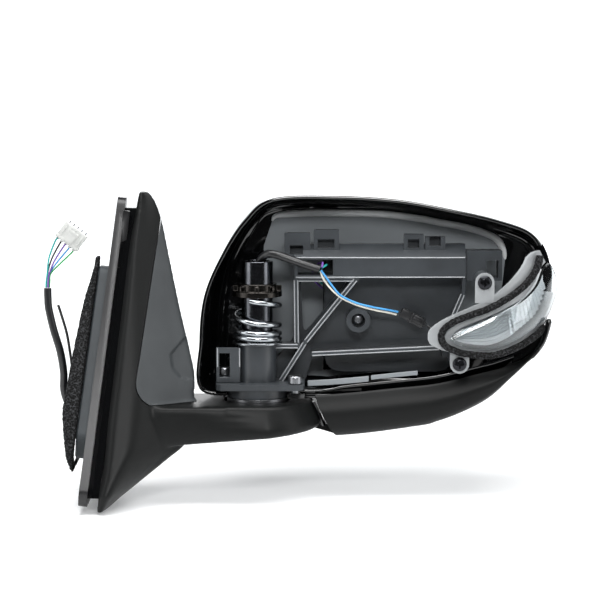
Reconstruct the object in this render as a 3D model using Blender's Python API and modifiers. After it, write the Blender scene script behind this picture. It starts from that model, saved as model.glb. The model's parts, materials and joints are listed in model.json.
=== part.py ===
# Car door mirror with its front cap off: door base, folding head, turn lamp and adjustable glass.
# Origin on the door face of the base plate, +X outboard, +Y to the rear of the car, +Z up.
# Lengths below are millimetres and become metres where the meshes are made.
import math
import bpy
import bmesh
import numpy
from mathutils import Matrix, Vector

mm = 0.001
gap = 0.35          # air left between pieces that meet
fit = 0.3           # radial clearance of shafts and pins

# Door base
mountTilt = math.radians(6.3)   # the door face leans out at the top
plateThick = 5.5
baseTop = 103.0
baseBottom = -98.0
coverStandoff = 10.0            # door face to the near edge of the sail cover
coverWall = 2.5
carrierDepth = 7.0
carrierRecess = 0.7             # the carrier sits this far into the plate
foamDepth = 8.5
insertRadius = 5.0
insertBore = 3.0
insertLength = 12.0

# Foot under the head
footTop = -32.7
footRadius = 35.5               # plan radius round the pivot at the top
footFlare = 9.3                 # the radius grows by this towards the bottom
footBottomAtPivot = -53.8
footSlope = 0.09
channelWidth = 13.0
channelRoof = -40.0
castingLow = footBottomAtPivot + 5.6

# Fold pivot
pivotX = 103.0
postRadius = 10.35
postWall = 2.35
postTop = 58.5
detentRadius = 20.0
detentThick = 2.5
hubWall = 1.85
hubRadius = postRadius + fit + hubWall
hubTop = 3.9
springRadius = 14.5
springWire = 3.6
springTop = 35.1
springTurns = 3.3
washerThick = 1.5
retainerHeight = 8.4
retainerFins = 8

# Head shell
headInner = 38.2                # pivot to the inboard end of the rim
headReach = 189.5               # pivot to the outboard end of the rim
headHeight = 129.5
headFloor = -28.0
housingWall = 2.5
rimY = -6.0
midY = 26.0
bezelY = 60.0
bulkheadY = 30.5
lowerCoverWall = 2.4

# Bracket inside the head
frameY = 12.0                   # front of the bracket plate
frameThick = 3.0
ribFront = -3.0
ribThick = 2.2
frameFloorTop = -20.6
frameFloorThick = 4.0
bracketFoot = 1.8

# Turn lamp
lampTipY = -33.0
lampSweep = 47.0                # how far the lamp wraps back at its outer end
lensWall = 2.0
lampDepth = 17.0
lampFlange = 2.0
flangeSet = 3.0                 # flange front below the lens face
sealRadius = 2.0
lampScrewHead = 4.6
lampScrewShank = 2.0

# Glass and its drive
glassCentreX = 190.0
glassCentreZ = 25.0
gimbalY = 48.0
glassThick = 2.0
holderY = 53.0
holderThick = 2.0
holderShare = 0.93
actuatorHalfX = 43.0
actuatorHalfZ = 42.0
actuatorFront = 15.6
actuatorRear = 40.0
actuatorWall = 2.0
plungerRadius = 3.5
plungerArmZ = 28.0
plungerArmX = 30.0
gearRadius = 10.0
gearTeeth = 20
motorRadius = 7.5

for old in list(bpy.data.objects):
    bpy.data.objects.remove(old)
partsCollection = bpy.data.collections.new("car_side_mirror")
cuttersCollection = bpy.data.collections.new("cutters")
for collection in (partsCollection, cuttersCollection):
    bpy.context.scene.collection.children.link(collection)

palette = {
    "satin_plastic": ((0.022, 0.022, 0.023), 0.45, 0.0),
    "panel_plastic": ((0.10, 0.105, 0.11), 0.5, 0.0),
    "gloss_plastic": ((0.008, 0.008, 0.009), 0.12, 0.0),
    "nylon": ((0.045, 0.048, 0.052), 0.5, 0.0),
    "cast_metal": ((0.06, 0.06, 0.065), 0.45, 0.6),
    "zinc": ((0.62, 0.63, 0.65), 0.22, 1.0),
    "steel": ((0.42, 0.43, 0.45), 0.3, 1.0),
    "dark_steel": ((0.03, 0.03, 0.032), 0.25, 0.8),
    "brass": ((0.60, 0.44, 0.19), 0.3, 1.0),
    "heater_film": ((0.02, 0.02, 0.022), 0.45, 0.0),
    "plug_plastic": ((0.008, 0.008, 0.009), 0.35, 0.0),
    "foam": ((0.010, 0.010, 0.011), 0.95, 0.0),
    "sheath": ((0.015, 0.015, 0.016), 0.7, 0.0),
    "carrier_plastic": ((0.13, 0.15, 0.17), 0.6, 0.0),
    "clear_lens": ((0.85, 0.87, 0.88), 0.05, 0.0),
    "lamp_grey": ((0.40, 0.41, 0.42), 0.4, 0.0),
    "silver_coat": ((0.80, 0.81, 0.82), 0.12, 1.0),
    "board": ((0.02, 0.12, 0.05), 0.5, 0.0),
    "white_nylon": ((0.75, 0.76, 0.74), 0.4, 0.0),
    "mirror": ((0.80, 0.82, 0.83), 0.02, 1.0),
    "wire_blue": ((0.05, 0.30, 0.62), 0.4, 0.0),
    "wire_white": ((0.75, 0.73, 0.68), 0.4, 0.0),
    "wire_teal": ((0.03, 0.38, 0.36), 0.4, 0.0),
    "wire_purple": ((0.24, 0.07, 0.40), 0.4, 0.0),
    "wire_green": ((0.04, 0.35, 0.09), 0.4, 0.0),
    "wire_black": ((0.01, 0.01, 0.01), 0.45, 0.0),
}


def material(slot):
    found = bpy.data.materials.get(slot)
    if found:
        return found
    colour, roughness, metallic = palette[slot]
    made = bpy.data.materials.new(slot)
    made.use_nodes = True
    shader = made.node_tree.nodes["Principled BSDF"]
    shader.inputs["Base Color"].default_value = (*colour, 1.0)
    shader.inputs["Roughness"].default_value = roughness
    shader.inputs["Metallic"].default_value = metallic
    made.diffuse_color = (*colour, 1.0)
    return made


tiltFrame = bpy.data.objects.new("base_tilt", None)
tiltFrame.matrix_world = Matrix.Rotation(mountTilt, 4, "Y")
partsCollection.objects.link(tiltFrame)


def objectFrom(mesh, name, slot=None):
    # without a slot the object is a tool: a cutter, or a piece that another one takes in
    made = bpy.data.objects.new(name, mesh)
    if slot:
        mesh.materials.append(material(slot))
        partsCollection.objects.link(made)
    else:
        made.hide_render = True
        made.display_type = "WIRE"
        cuttersCollection.objects.link(made)
    return made


def meshFrom(work, name):
    bmesh.ops.recalc_face_normals(work, faces=work.faces)
    mesh = bpy.data.meshes.new(name)
    work.to_mesh(mesh)
    work.free()
    return mesh


def box(name, low, high, slot=None):
    work = bmesh.new()
    bmesh.ops.create_cube(work, size=1.0)
    size = [(b - a) * mm for a, b in zip(low, high)]
    middle = [(a + b) / 2 * mm for a, b in zip(low, high)]
    bmesh.ops.transform(work, matrix=Matrix.Translation(middle) @ Matrix.Diagonal((*size, 1.0)), verts=work.verts)
    return objectFrom(meshFrom(work, name), name, slot)


def cylinder(name, start, end, radius, slot=None, sides=20):
    a = Vector(start) * mm
    b = Vector(end) * mm
    work = bmesh.new()
    turn = Vector((0, 0, 1)).rotation_difference(b - a).to_matrix().to_4x4()
    bmesh.ops.create_cone(work, cap_ends=True, segments=sides, radius1=radius * mm, radius2=radius * mm,
                          depth=(b - a).length, matrix=Matrix.Translation((a + b) / 2) @ turn)
    return objectFrom(meshFrom(work, name), name, slot)


def loft(name, rings, slot=None, closed=False):
    # rings of equal count; closed joins the last ring to the first, else the ends are capped
    work = bmesh.new()
    rows = [[work.verts.new(Vector(point) * mm) for point in ring] for ring in rings]
    count = len(rings[0])
    pairs = list(zip(rows, rows[1:]))
    if closed:
        pairs.append((rows[-1], rows[0]))
    for lower, upper in pairs:
        for i in range(count):
            j = (i + 1) % count
            work.faces.new((lower[i], lower[j], upper[j], upper[i]))
    if not closed:
        work.faces.new(list(reversed(rows[0])))
        work.faces.new(rows[-1])
    return objectFrom(meshFrom(work, name), name, slot)


def turned(name, profile, centre, slot=None, steps=32, axis="Z"):
    # profile: (radius, height) pairs down the outer side, closed back up the bore when it has one
    mesh = bpy.data.meshes.new(name)
    work = bmesh.new()
    points = [work.verts.new((radius * mm, 0, height * mm)) for radius, height in profile]
    for a, b in zip(points, points[1:]):
        work.edges.new((a, b))
    if profile[0][0] > 0:
        work.edges.new((points[-1], points[0]))
    work.to_mesh(mesh)
    work.free()
    made = objectFrom(mesh, name, slot)
    made.location = Vector(centre) * mm
    if axis == "Y":
        made.rotation_euler = (-math.pi / 2, 0, 0)
    if axis == "X":
        made.rotation_euler = (0, math.pi / 2, 0)
    screw = made.modifiers.new("Turn", "SCREW")
    screw.steps = steps
    screw.render_steps = steps
    screw.use_merge_vertices = True
    screw.merge_threshold = 0.000001
    screw.use_smooth_shade = True
    return made


def settle(made):
    # a modifier or curve result becomes the object's own mesh
    bpy.context.view_layer.update()
    graph = bpy.context.evaluated_depsgraph_get()
    mesh = bpy.data.meshes.new_from_object(made.evaluated_get(graph))
    work = bmesh.new()
    work.from_mesh(mesh)
    bmesh.ops.remove_doubles(work, verts=work.verts, dist=0.000002)
    bmesh.ops.recalc_face_normals(work, faces=work.faces)
    work.to_mesh(mesh)
    work.free()
    solid = bpy.data.objects.new(made.name, mesh)
    solid.matrix_world = made.matrix_world
    for owner in made.users_collection:
        owner.objects.link(solid)
    solid.hide_render = made.hide_render
    solid.display_type = made.display_type
    name = made.name
    bpy.data.objects.remove(made)
    solid.name = name
    return solid


def flat(name, outlines, thickness, place, slot=None):
    # a flat outline with holes, extruded; place turns its XY plane into the world
    curve = bpy.data.curves.new(name, "CURVE")
    curve.dimensions = "2D"
    curve.fill_mode = "BOTH"
    curve.extrude = thickness * mm / 2
    for outline in outlines:
        spline = curve.splines.new("POLY")
        spline.points.add(len(outline) - 1)
        for point, (x, y) in zip(spline.points, outline):
            point.co = (x * mm, y * mm, 0, 1)
        spline.use_cyclic_u = True
    made = objectFrom(curve, name, slot) if slot else objectFrom(curve, name)
    made.matrix_world = place
    return settle(made)


def facingY(y):
    # outline in X and Z, thickness centred on y
    return Matrix.Translation((0, y * mm, 0)) @ Matrix.Rotation(math.pi / 2, 4, "X")


def facingZ(z):
    return Matrix.Translation((0, 0, z * mm))


def facingX(x):
    # outline in Y and Z
    return Matrix.Translation((x * mm, 0, 0)) @ Matrix(((0, 0, 1, 0), (1, 0, 0, 0), (0, 1, 0, 0), (0, 0, 0, 1)))


def tube(name, points, diameter, slot, detail=2):
    curve = bpy.data.curves.new(name, "CURVE")
    curve.dimensions = "3D"
    curve.bevel_depth = diameter * mm / 2
    curve.bevel_resolution = detail
    curve.use_fill_caps = True
    spline = curve.splines.new("POLY")
    spline.points.add(len(points) - 1)
    for point, place in zip(spline.points, points):
        point.co = (*(Vector(place) * mm), 1)
    return settle(objectFrom(curve, name, slot))


def cut(made, cutter):
    step = made.modifiers.new("Cut", "BOOLEAN")
    step.operation = "DIFFERENCE"
    step.object = cutter
    return step


def join(made, piece):
    step = made.modifiers.new("Join", "BOOLEAN")
    step.operation = "UNION"
    step.object = piece
    return step


def keep(made, region):
    step = made.modifiers.new("Keep", "BOOLEAN")
    step.operation = "INTERSECT"
    step.object = region
    return step


def tilted(made):
    made.parent = tiltFrame
    return made


def curvePoint(points, place):
    # a smooth curve through the points; place runs from 0 to the number of spans
    span = min(int(place), len(points) - 2)
    t = place - span
    at = [Vector(points[max(0, min(len(points) - 1, span + k))]) for k in (-1, 0, 1, 2)]
    return 0.5 * (2 * at[1] + (at[2] - at[0]) * t + (2 * at[0] - 5 * at[1] + 4 * at[2] - at[3]) * t * t
                  + (3 * at[1] - at[0] - 3 * at[2] + at[3]) * t ** 3)


def smoothLine(points, each):
    count = (len(points) - 1) * each
    return [curvePoint(points, k / each) for k in range(count + 1)]


def evenLine(points, count):
    # the same curve with its points spread evenly along it
    fine = smoothLine(points, 24)
    run = [0.0]
    for a, b in zip(fine, fine[1:]):
        run.append(run[-1] + (b - a).length)
    marks = [run[-1] * k / (count - 1) for k in range(count)]
    axes = [numpy.interp(marks, run, [point[k] for point in fine]) for k in range(len(fine[0]))]
    return [tuple(values) for values in zip(*axes)]


def smoothLoop(points, each):
    wrapped = points[-1:] + points + points[:2]
    loop = []
    for span in range(1, len(points) + 1):
        for k in range(each):
            loop.append(curvePoint(wrapped, span + k / each))
    return loop


def rounded(points, radius, steps=3):
    # a polygon with each corner replaced by an arc that touches both its sides
    loop = []
    for i, corner in enumerate(points):
        here = Vector(corner)
        before = (Vector(points[i - 1]) - here)
        after = (Vector(points[(i + 1) % len(points)]) - here)
        half = before.angle(after) / 2
        reach = min(radius / math.tan(half), before.length * 0.45, after.length * 0.45)
        a = here + before.normalized() * reach
        b = here + after.normalized() * reach
        for k in range(steps + 1):
            t = k / steps
            loop.append(tuple(a * (1 - t) ** 2 + here * 2 * t * (1 - t) + b * t * t))
    return loop


def disc(radius, centre=(0, 0), sides=36, start=0.0, sweep=2 * math.pi):
    return [(centre[0] + radius * math.cos(start + sweep * k / sides),
             centre[1] + radius * math.sin(start + sweep * k / sides)) for k in range(sides)]


# ---- head shape: nominal places stretch with the head's own sizes, never with the pivot's
nominalReach = 189.5
nominalHeight = 129.5
nominalInner = 38.2


def headX(x):
    offset = x - 103.0
    return pivotX + offset * (headReach / nominalReach if offset > 0 else headInner / nominalInner)


def headZ(z):
    if z < headFloor:
        return z
    return headFloor + (z - headFloor) * headHeight / nominalHeight


def headPoint(x, z):
    return headX(x), headZ(z)


rimLine = [(73, -29.9), (142.6, -28.8), (196.5, -23.9), (221.6, -21), (246.6, -15), (267.5, -9.2), (280, -2.6),
           (289, 6.5)]
bellyLine = [(73, -56.5), (152.6, -56.5), (207.4, -50.2), (221.6, -46.8), (238, -40.6), (255, -31.2), (269, -18.0),
             (280, -6.6), (289, 4.0)]
rimCurve = smoothLine([Vector(headPoint(*p)) for p in rimLine], 6)
bellyCurve = smoothLine([Vector(headPoint(*p)) for p in bellyLine], 6)


def lowerZ(x, share):
    # height of the head's underside: 0 on the rim line, 1 on the belly
    rim = numpy.interp(x, [p[0] for p in rimCurve], [p[1] for p in rimCurve])
    belly = numpy.interp(x, [p[0] for p in bellyCurve], [p[1] for p in bellyCurve])
    return float(rim + (belly - rim) * share)


def lampY(x):
    # the lens face wraps back ever faster towards its outer end
    share = max(0.0, (x - headX(225)) / (headX(301) - headX(225)))
    return lampTipY + lampSweep * share ** 4


def lampPoint(x, z, depth=0.0):
    # a point below the lens face, measured square to it
    slope = (lampY(x + 0.1) - lampY(x - 0.1)) / 0.2
    length = math.hypot(slope, 1.0)
    return (x - slope / length * depth, lampY(x) + depth / length, z)


# ---------------------------------------------------------------- door base
plateOutline = rounded([(16, baseTop - 3), (28, baseTop - 3), (34, 40), (35, -70), (28, baseBottom + 4),
                        (-56, baseBottom + 4), (-64, -86)], 7)
insertPlaces = [(18.0, 66.0), (-36.0, -78.0), (20.0, -80.0)]
sailEdge = [(-98, 6.0), (-94, 11.6), (-84.4, 24.6), (-68.6, 45.0), (-58, 57.0), (-40, 61.5), (-17.5, 61.8),
            (0, 58.5), (31.4, 51.0), (65.2, 43.8), (84, 39.6), (96, 35.0), (102.5, 29.5)]


def sailRing(z, inset=0.0, open_side=0.0):
    planeX = z * math.tan(mountTilt)
    left = planeX + coverStandoff
    right = float(numpy.interp(z, [p[0] for p in sailEdge], [p[1] for p in sailEdge])) - inset
    front = -64.0 + 0.424 * (z + 86.0) if z > -86 else -64.0 + (-86.0 - z) * 0.35
    front += inset
    rear = 35.5 - max(0.0, z - 40.0) * 0.09 - max(0.0, -80.0 - z) * 0.3 - inset
    wide = max(right - left, 1.0)
    ridge = front + (rear - front) * 0.40
    full = float(numpy.interp(z, (-34.0, -22.0), (0.66, 0.50)))     # slimmer where the head swings past
    path = [(left - open_side, front), (left + 0.12 * wide, front - 0.6), (left + 0.40 * wide, front + 2.5),
            (left + 0.80 * wide, front + (ridge - front) * 0.62), (right, ridge),
            (left + full * wide, ridge + 0.51 * (rear - ridge)), (left + full * wide / 3, rear - 1.5),
            (left - open_side, rear)]
    return [(x, y, z) for x, y in evenLine([Vector(p) for p in path], 18)]


def footBottom(x):
    return footBottomAtPivot + footSlope * (x - pivotX)


def footPlan(radius, inset=0.0):
    start = 38.0 - inset * 2
    angles = [math.radians(-80 + 160 * k / 12) for k in range(13)]
    end = [(pivotX + radius * math.cos(a), radius * math.sin(a)) for a in angles]
    return [(start, inset - 37.0), (60.0, inset - 37.0)] + end + [(60.0, 29.0 - inset), (start, 28.0 - inset)]


def footRing(share, shrink=0.0, inset=0.0, top=footTop):
    radius = footRadius + footFlare * share - shrink - inset
    ring = []
    for x, y in footPlan(radius, inset + shrink * 0.6):
        low = footBottom(x) + inset
        ring.append((x, y, top + (low - top) * share))
    return ring


sailHeights = [baseBottom + 1, -92, -84, -68, -58, -40, -20, 2, 34, 66, 88, 98, baseTop - 0.5]
footLevels = [(0.0, 1.2), (0.05, 0.0), (0.6, 0.0), (0.86, 1.2), (1.0, 6.5)]


def coverBody(name, inset=0.0, open_side=0.0, slot=None):
    heights = list(sailHeights)
    if inset:
        heights[0] += inset
        heights[-1] -= inset
    body = loft(name, [sailRing(z, inset, open_side) for z in heights], slot)
    top = footTop - inset
    foot = loft(name + "_foot", [footRing(s, r, inset, top) for s, r in footLevels])
    return body, foot


def seamRegion(name, extra):
    line = [(41.5, 110), (38.9, 84), (34.7, 54), (27.6, 0), (25.3, -18.3), (28.4, -27.0), (34, -32.0)]
    edge = [(x + extra, z + (extra if z < 0 else 0)) for x, z in line]
    return flat(name, [edge + [(95, -32.0 + extra), (95, 110)]], 260, facingY(0))


def buildCover():
    shell, foot = coverBody("foot_cover", slot="satin_plastic")
    inside, insideFoot = coverBody("cover_inside", coverWall, 12.0)
    join(shell, foot)
    cut(shell, inside)
    cut(shell, insideFoot).solver = "MANIFOLD"
    cut(shell, cylinder("cover_pivot_hole", (pivotX, 0, footTop - 12), (pivotX, 0, footTop + 6), detentRadius + 2.2))
    panel, panelFoot = coverBody("sail_panel", slot="panel_plastic")
    join(panel, panelFoot)
    cut(panel, inside)
    cut(panel, insideFoot).solver = "MANIFOLD"
    keep(panel, seamRegion("panel_region", 0.5)).solver = "MANIFOLD"
    cut(shell, seamRegion("panel_room", 0.0))
    # the underside opening takes the under cover
    middle = Matrix.Translation((88 * mm, 0, footBottom(88) * mm)) @ Matrix.Rotation(-math.atan(footSlope), 4, "Y")
    room = rounded([(-24, -18), (30, -18), (30, 18), (-24, 18)], 9)
    cut(shell, flat("under_room", [room], 14, middle))
    lid = rounded([(-24 + gap, -18 + gap), (30 - gap, -18 + gap), (30 - gap, 18 - gap), (-24 + gap, 18 - gap)], 9)
    slope = Matrix.Translation((88 * mm, 0, (footBottom(88) + 1.3) * mm)) @ Matrix.Rotation(-math.atan(footSlope), 4, "Y")
    under = flat("foot_under_cover", [lid], 2.2, slope, "satin_plastic")
    for name, x in (("inner", 72.0), ("outer", 110.0)):
        z = footBottom(x) + 0.1
        cut(under, cylinder("under_hole_" + name, (x, 0, z - 6), (x, 0, z + 8), 2.0 + fit))
        turned("under_screw_" + name, [(0, 4.6), (2.0, 4.6), (2.0, 0.0), (4.0, 0.0), (4.0, -2.2), (0, -2.2)],
               (x, 0, z - gap), "dark_steel", 16)


carrierOuter = ([(8, 54), (20, 54), (24, -40), (20, -66), (-34, -68), (-42, -52)], 9)
carrierInner = ([(9, 40), (14, 40), (17, -34), (13, -56), (-26, -58), (-32, -48)], 6)


def carrierLoop(shape, distance=0.0):
    corners, radius = shape
    return [tuple(p) for p in inward([Vector(p) for p in rounded(corners, radius)], distance)]


def buildCasting():
    casting = flat("base_casting", [plateOutline], plateThick, tiltFrame.matrix_world @ facingX(plateThick / 2),
                   "cast_metal")
    join(casting, box("foot_beam", (6.5, -19, castingLow), (pivotX, 16, -36.0)))
    join(casting, cylinder("foot_end", (pivotX, 0, castingLow), (pivotX, 0, -36.0), 28.0))
    join(casting, cylinder("pivot_boss", (pivotX, 0, castingLow + 1), (pivotX, 0, footTop - 0.9), detentRadius))
    web = [(9.4, 56.0), (-1.0, -38.0), (38.0, -38.0), (31.0, -10.0), (16.0, 52.0)]
    join(casting, flat("sail_web", [web], 5.0, facingY(4)))
    rib = box("plate_rib", (5.0, 8.5, 64.0), (9.2, 11.5, 92.0))
    rib.matrix_world = tiltFrame.matrix_world
    join(casting, rib)
    for number, (y, z) in enumerate(insertPlaces):
        boss = cylinder("insert_boss_%d" % number, (4.0, y, z), (insertLength + 0.6, y, z), insertRadius + 2.0)
        boss.matrix_world = tiltFrame.matrix_world
        hole = cylinder("insert_hole_%d" % number, (-2, y, z), (insertLength + 3, y, z), insertRadius + fit)
        hole.matrix_world = tiltFrame.matrix_world
        if number != 0:
            join(casting, boss)
        cut(casting, hole)
    recess = [carrierLoop(carrierOuter, -gap), carrierLoop(carrierInner, gap)]
    cut(casting, flat("carrier_recess", recess, 2 * carrierRecess, tiltFrame.matrix_world @ facingX(0)))
    half = channelWidth / 2
    cut(casting, box("harness_channel", (-12, -half - 2, -60.0), (pivotX + half, half - 2, channelRoof)))
    cut(casting, cylinder("post_bore", (pivotX, 0, channelRoof - 0.05), (pivotX, 0, footTop + 4), postRadius + fit))
    for name, x in (("inner", 72.0), ("outer", 110.0)):
        cut(casting, cylinder("casting_screw_room_" + name, (x, 0, -60), (x, 0, -41), 3.2))
    return casting


def buildInserts():
    for number, (y, z) in enumerate(insertPlaces):
        radius, bore = insertRadius, insertBore
        bush = turned("threaded_insert_%d" % (number + 1), [(radius, insertLength), (radius, 0.3), (bore, 0.3),
                      (bore, insertLength)], (0, y, z), "brass", 24, "X")
        tilted(bush)




def buildDoorSeal():
    seat = carrierRecess - gap
    flat("gasket_carrier", [carrierLoop(carrierOuter), carrierLoop(carrierInner)], carrierDepth + seat,
         tiltFrame.matrix_world @ facingX((seat - carrierDepth) / 2), "carrier_plastic")
    # the foam bulges in the middle of its height and thins to both ends
    outer = smoothLoop([Vector(p) for p in [(10, 56), (21, 50), (25, 0), (25, -45), (20, -72), (-10, -78),
                                            (-38, -74), (-45, -52), (-20, 5)]], 5)
    rings = []
    for share, depth in ((0.0, 0.0), (1.0, 0.0), (1.0, 0.7), (0.86, 1.0), (0.2, 1.0), (0.0, 0.75)):
        loop = []
        for point in outer:
            middle = Vector((0.0 if point[1] < -30 else 8.0, max(-52.0, min(38.0, point[1]))))
            inward = (middle - point).normalized() * 9.0 * (1 - share)
            bulge = foamDepth * (0.42 + 0.58 * math.sin(math.pi * min(1, max(0, (point[1] + 90) / 160))))
            loop.append((-carrierDepth - gap - bulge * depth, point[0] + inward[0], point[1] + inward[1]))
        rings.append(loop)
    foam = loft("foam_gasket", rings, "foam", True)
    tilted(foam)


def buildPivot():
    bottom = channelRoof + 0.25
    inner = postRadius - postWall
    turned("pivot_post", [(postRadius, postTop), (postRadius, bottom), (inner, bottom), (inner, postTop)],
           (pivotX, 0, 0), "dark_steel", 28)
    top = footTop - 0.9 + gap + detentThick
    ring = turned("detent_ring", [(detentRadius, top), (detentRadius, top - detentThick),
                  (postRadius + fit + 0.4, top - detentThick), (postRadius + fit + 0.4, top)],
                  (pivotX, 0, 0), "steel", 28)
    for number in range(3):
        angle = math.radians(90 + 120 * number)
        x = pivotX + detentRadius * 0.8 * math.cos(angle)
        y = detentRadius * 0.8 * math.sin(angle)
        cut(ring, cylinder("detent_dimple_%d" % number, (x, y, top - 1.0), (x, y, top + 2), 2.2, sides=14))
    washerLow = hubTop + gap
    washerTop = washerLow + washerThick
    outer = springRadius + springWire / 2
    turned("spring_washer", [(outer, washerTop), (outer, washerLow), (postRadius + fit + 0.3, washerLow),
           (postRadius + fit + 0.3, washerTop)], (pivotX, 0, 0), "zinc", 28)
    low = washerTop + gap + springWire / 2
    high = springTop - springWire / 2
    turns = [0.0, 0.75, 1.25, 1.75, 2.25, 2.75, springTurns]
    rise = [0.0, 0.10, 0.17, 0.28, 0.42, 0.72, 1.0]
    path = []
    for k in range(60):
        turn = springTurns * k / 59
        z = low + (high - low) * float(numpy.interp(turn, turns, rise))
        angle = -2 * math.pi * turn
        path.append((pivotX + springRadius * math.cos(angle), springRadius * math.sin(angle), z))
    tube("fold_spring", path, springWire, "zinc", 1)
    base = springTop + gap
    bore = postRadius + fit
    keeper = turned("spring_retainer", [(outer, base + 3.6), (outer, base), (bore, base), (bore, base + retainerHeight),
                    (bore + 2.2, base + retainerHeight), (bore + 2.2, base + 3.6)], (pivotX, 0, 0), "zinc", 28)
    for number in range(retainerFins):
        angle = 2 * math.pi * number / retainerFins
        fin = box("retainer_fin_%d" % number, (bore + 1.2, -1.1, base + 2.0), (outer - 0.4, 1.1, base + retainerHeight - 1.2))
        fin.matrix_world = Matrix.Translation((pivotX * mm, 0, 0)) @ Matrix.Rotation(angle, 4, "Z")
        join(keeper, fin)


# ---------------------------------------------------------------- folding head
def headOutline(y):
    # rim, middle and bezel outlines have matching points, clockwise from the lower inboard corner
    share = {rimY: 0.0, midY: 0.96, bezelY: 0.88}[y]
    extra = {rimY: 0.5, midY: 2.4, bezelY: 2.6}[y]
    below = [(x, lowerZ(headX(x), share) + lowerCoverWall + extra) for x in (278, 262, 246, 222, 196, 162)]
    if y == rimY:
        upper = [(66.5, -27), (64.8, 5.9), (68, 35.4), (79, 61.5), (94.5, 85.5), (113.5, 100), (156.5, 101.5),
                 (196.5, 98.9), (232, 92.2), (260, 85.5), (281, 77.5), (290.5, 63), (292.5, 38), (289.5, 14)]
        corner = [(145, headFloor + 0.3), (108, headFloor)]
    elif y == midY:
        upper = [(73, headFloor), (72, 6), (74, 36), (81, 62), (95, 86), (113, 98.5), (156, 100.3), (196, 97.8),
                 (232, 91), (260, 84.5), (283, 76), (295, 62), (299, 38), (294, 14)]
        corner = [(149, headFloor - 2.5), (112, headFloor)]
    else:
        upper = [(79, headFloor), (77, 6), (79, 36), (86, 62), (98, 84), (115, 96), (156, 98), (196, 96),
                 (232, 89.5), (260, 83), (283, 74.5), (295.5, 60), (299.5, 36), (295, 12)]
        corner = [(142, headFloor - 6.5), (108, headFloor - 0.5)]
    points = [Vector(headPoint(x, z)) for x, z in upper]
    points += [Vector((headX(x), z)) for x, z in below]
    points += [Vector((headX(x), z)) for x, z in corner]
    return smoothLoop(points, 3)


def inward(loop, distance):
    # each point moves square to the outline, to its inside
    moved = []
    for i, point in enumerate(loop):
        along = (loop[(i + 1) % len(loop)] - loop[i - 1]).normalized()
        moved.append(Vector((point[0] + along[1] * distance, point[1] - along[0] * distance)))
    return moved


def atY(loop, y):
    return [(x, y, z) for x, z in loop]


def squareLoop(count, centre, halfX, halfZ, like):
    # a rounded rectangle whose points lie in the same directions as those of the loop it faces
    loop = []
    for point in like[:count]:
        way = Vector(point) - Vector(centre)
        power = ((abs(way[0]) / halfX) ** 6 + (abs(way[1]) / halfZ) ** 6) ** (1 / 6)
        loop.append(Vector(centre) + way / power)
    return loop


glassCentre = (headX(glassCentreX), headZ(glassCentreZ))


def between(a, b, share):
    return [p.lerp(q, share) for p, q in zip(a, b)]


def buildHousing():
    rim, mid, bezel = (headOutline(y) for y in (rimY, midY, bezelY))
    wall = housingWall
    inRim, inMid, inBezel = (inward(loop, wall) for loop in (rim, mid, bezel))
    level = (bulkheadY - midY) / (bezelY - midY)
    front = between(inMid, inBezel, level)
    rear = between(inMid, inBezel, level + wall / (bezelY - midY))
    hole = squareLoop(len(front), glassCentre, actuatorHalfX + 5, actuatorHalfZ + 4.5, front)
    rings = [atY(rim, rimY), atY(mid, midY), atY(bezel, bezelY), atY(inBezel, bezelY),
             atY(rear, bulkheadY + wall), atY(hole, bulkheadY + wall), atY(hole, bulkheadY), atY(front, bulkheadY),
             atY(inMid, midY), atY(inRim, rimY)]
    housing = loft("rear_housing", rings, "gloss_plastic", True)
    clip = box("lip_clip", (headX(177), rimY + 0.5, -22.0), (headX(177) + 14, rimY + 3.0, -4.0))
    join(housing, clip)
    cut(housing, cylinder("housing_pivot_hole", (pivotX, 0, headFloor - 10), (pivotX, 0, headFloor + 6),
                          detentRadius + 0.9, sides=28))
    cut(housing, box("lamp_notch", (headX(276), rimY - 8, headZ(7.5)), (headX(320), lampTipY + lampSweep + 5.0, headZ(69))))
    for name, x, y in boltPlaces:
        cut(housing, cylinder("housing_bolt_hole_" + name, (x, y, headFloor - 8), (x, y, headFloor + 8), 2.9, sides=16))
    return housing


boltPlaces = [("inner", 81.2, 12.0), ("outer", 127.9, -14.0)]


def buildLowerCover():
    rows = [(0.0, -9.0), (0.40, -14.0), (0.80, -13.0), (1.0, -4.0), (0.99, 16.0), (0.93, 36.0), (0.88, 50.0)]
    right = headX(287)
    stations = 18
    rings = []
    for s in range(stations + 1):
        share = s / stations
        outer = []
        for level, y in rows:
            z = lowerZ(headX(150), level)
            radius = footRadius + 4.6 + 0.47 * (footTop + 1.7 - z)
            left = pivotX + math.sqrt(max(radius ** 2 - y ** 2, 16.0))
            x = left + (right - left) * share ** 0.9
            outer.append(Vector((x, y, lowerZ(x, level))))
        inner = []
        for i, point in enumerate(outer):
            a = outer[max(0, i - 1)]
            b = outer[min(len(outer) - 1, i + 1)]
            along = Vector((b[1] - a[1], b[2] - a[2])).normalized()
            normal = Vector((-along[1], along[0]))
            inner.append(Vector((point[0], point[1] + normal[0] * lowerCoverWall, point[2] + normal[1] * lowerCoverWall)))
        rings.append([tuple(p) for p in outer + inner[::-1]])
    return loft("lower_cover", rings, "satin_plastic")


def bar(name, start, end, rear, front=ribFront, thick=ribThick):
    a = Vector(start)
    b = Vector(end)
    side = (b - a).normalized()
    side = Vector((-side[1], side[0])) * thick / 2
    along = (b - a).normalized() * 0.6
    outline = [tuple(a - along + side), tuple(b + along + side), tuple(b + along - side), tuple(a - along - side)]
    return flat(name, [outline], rear - front, facingY((rear + front) / 2))


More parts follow.
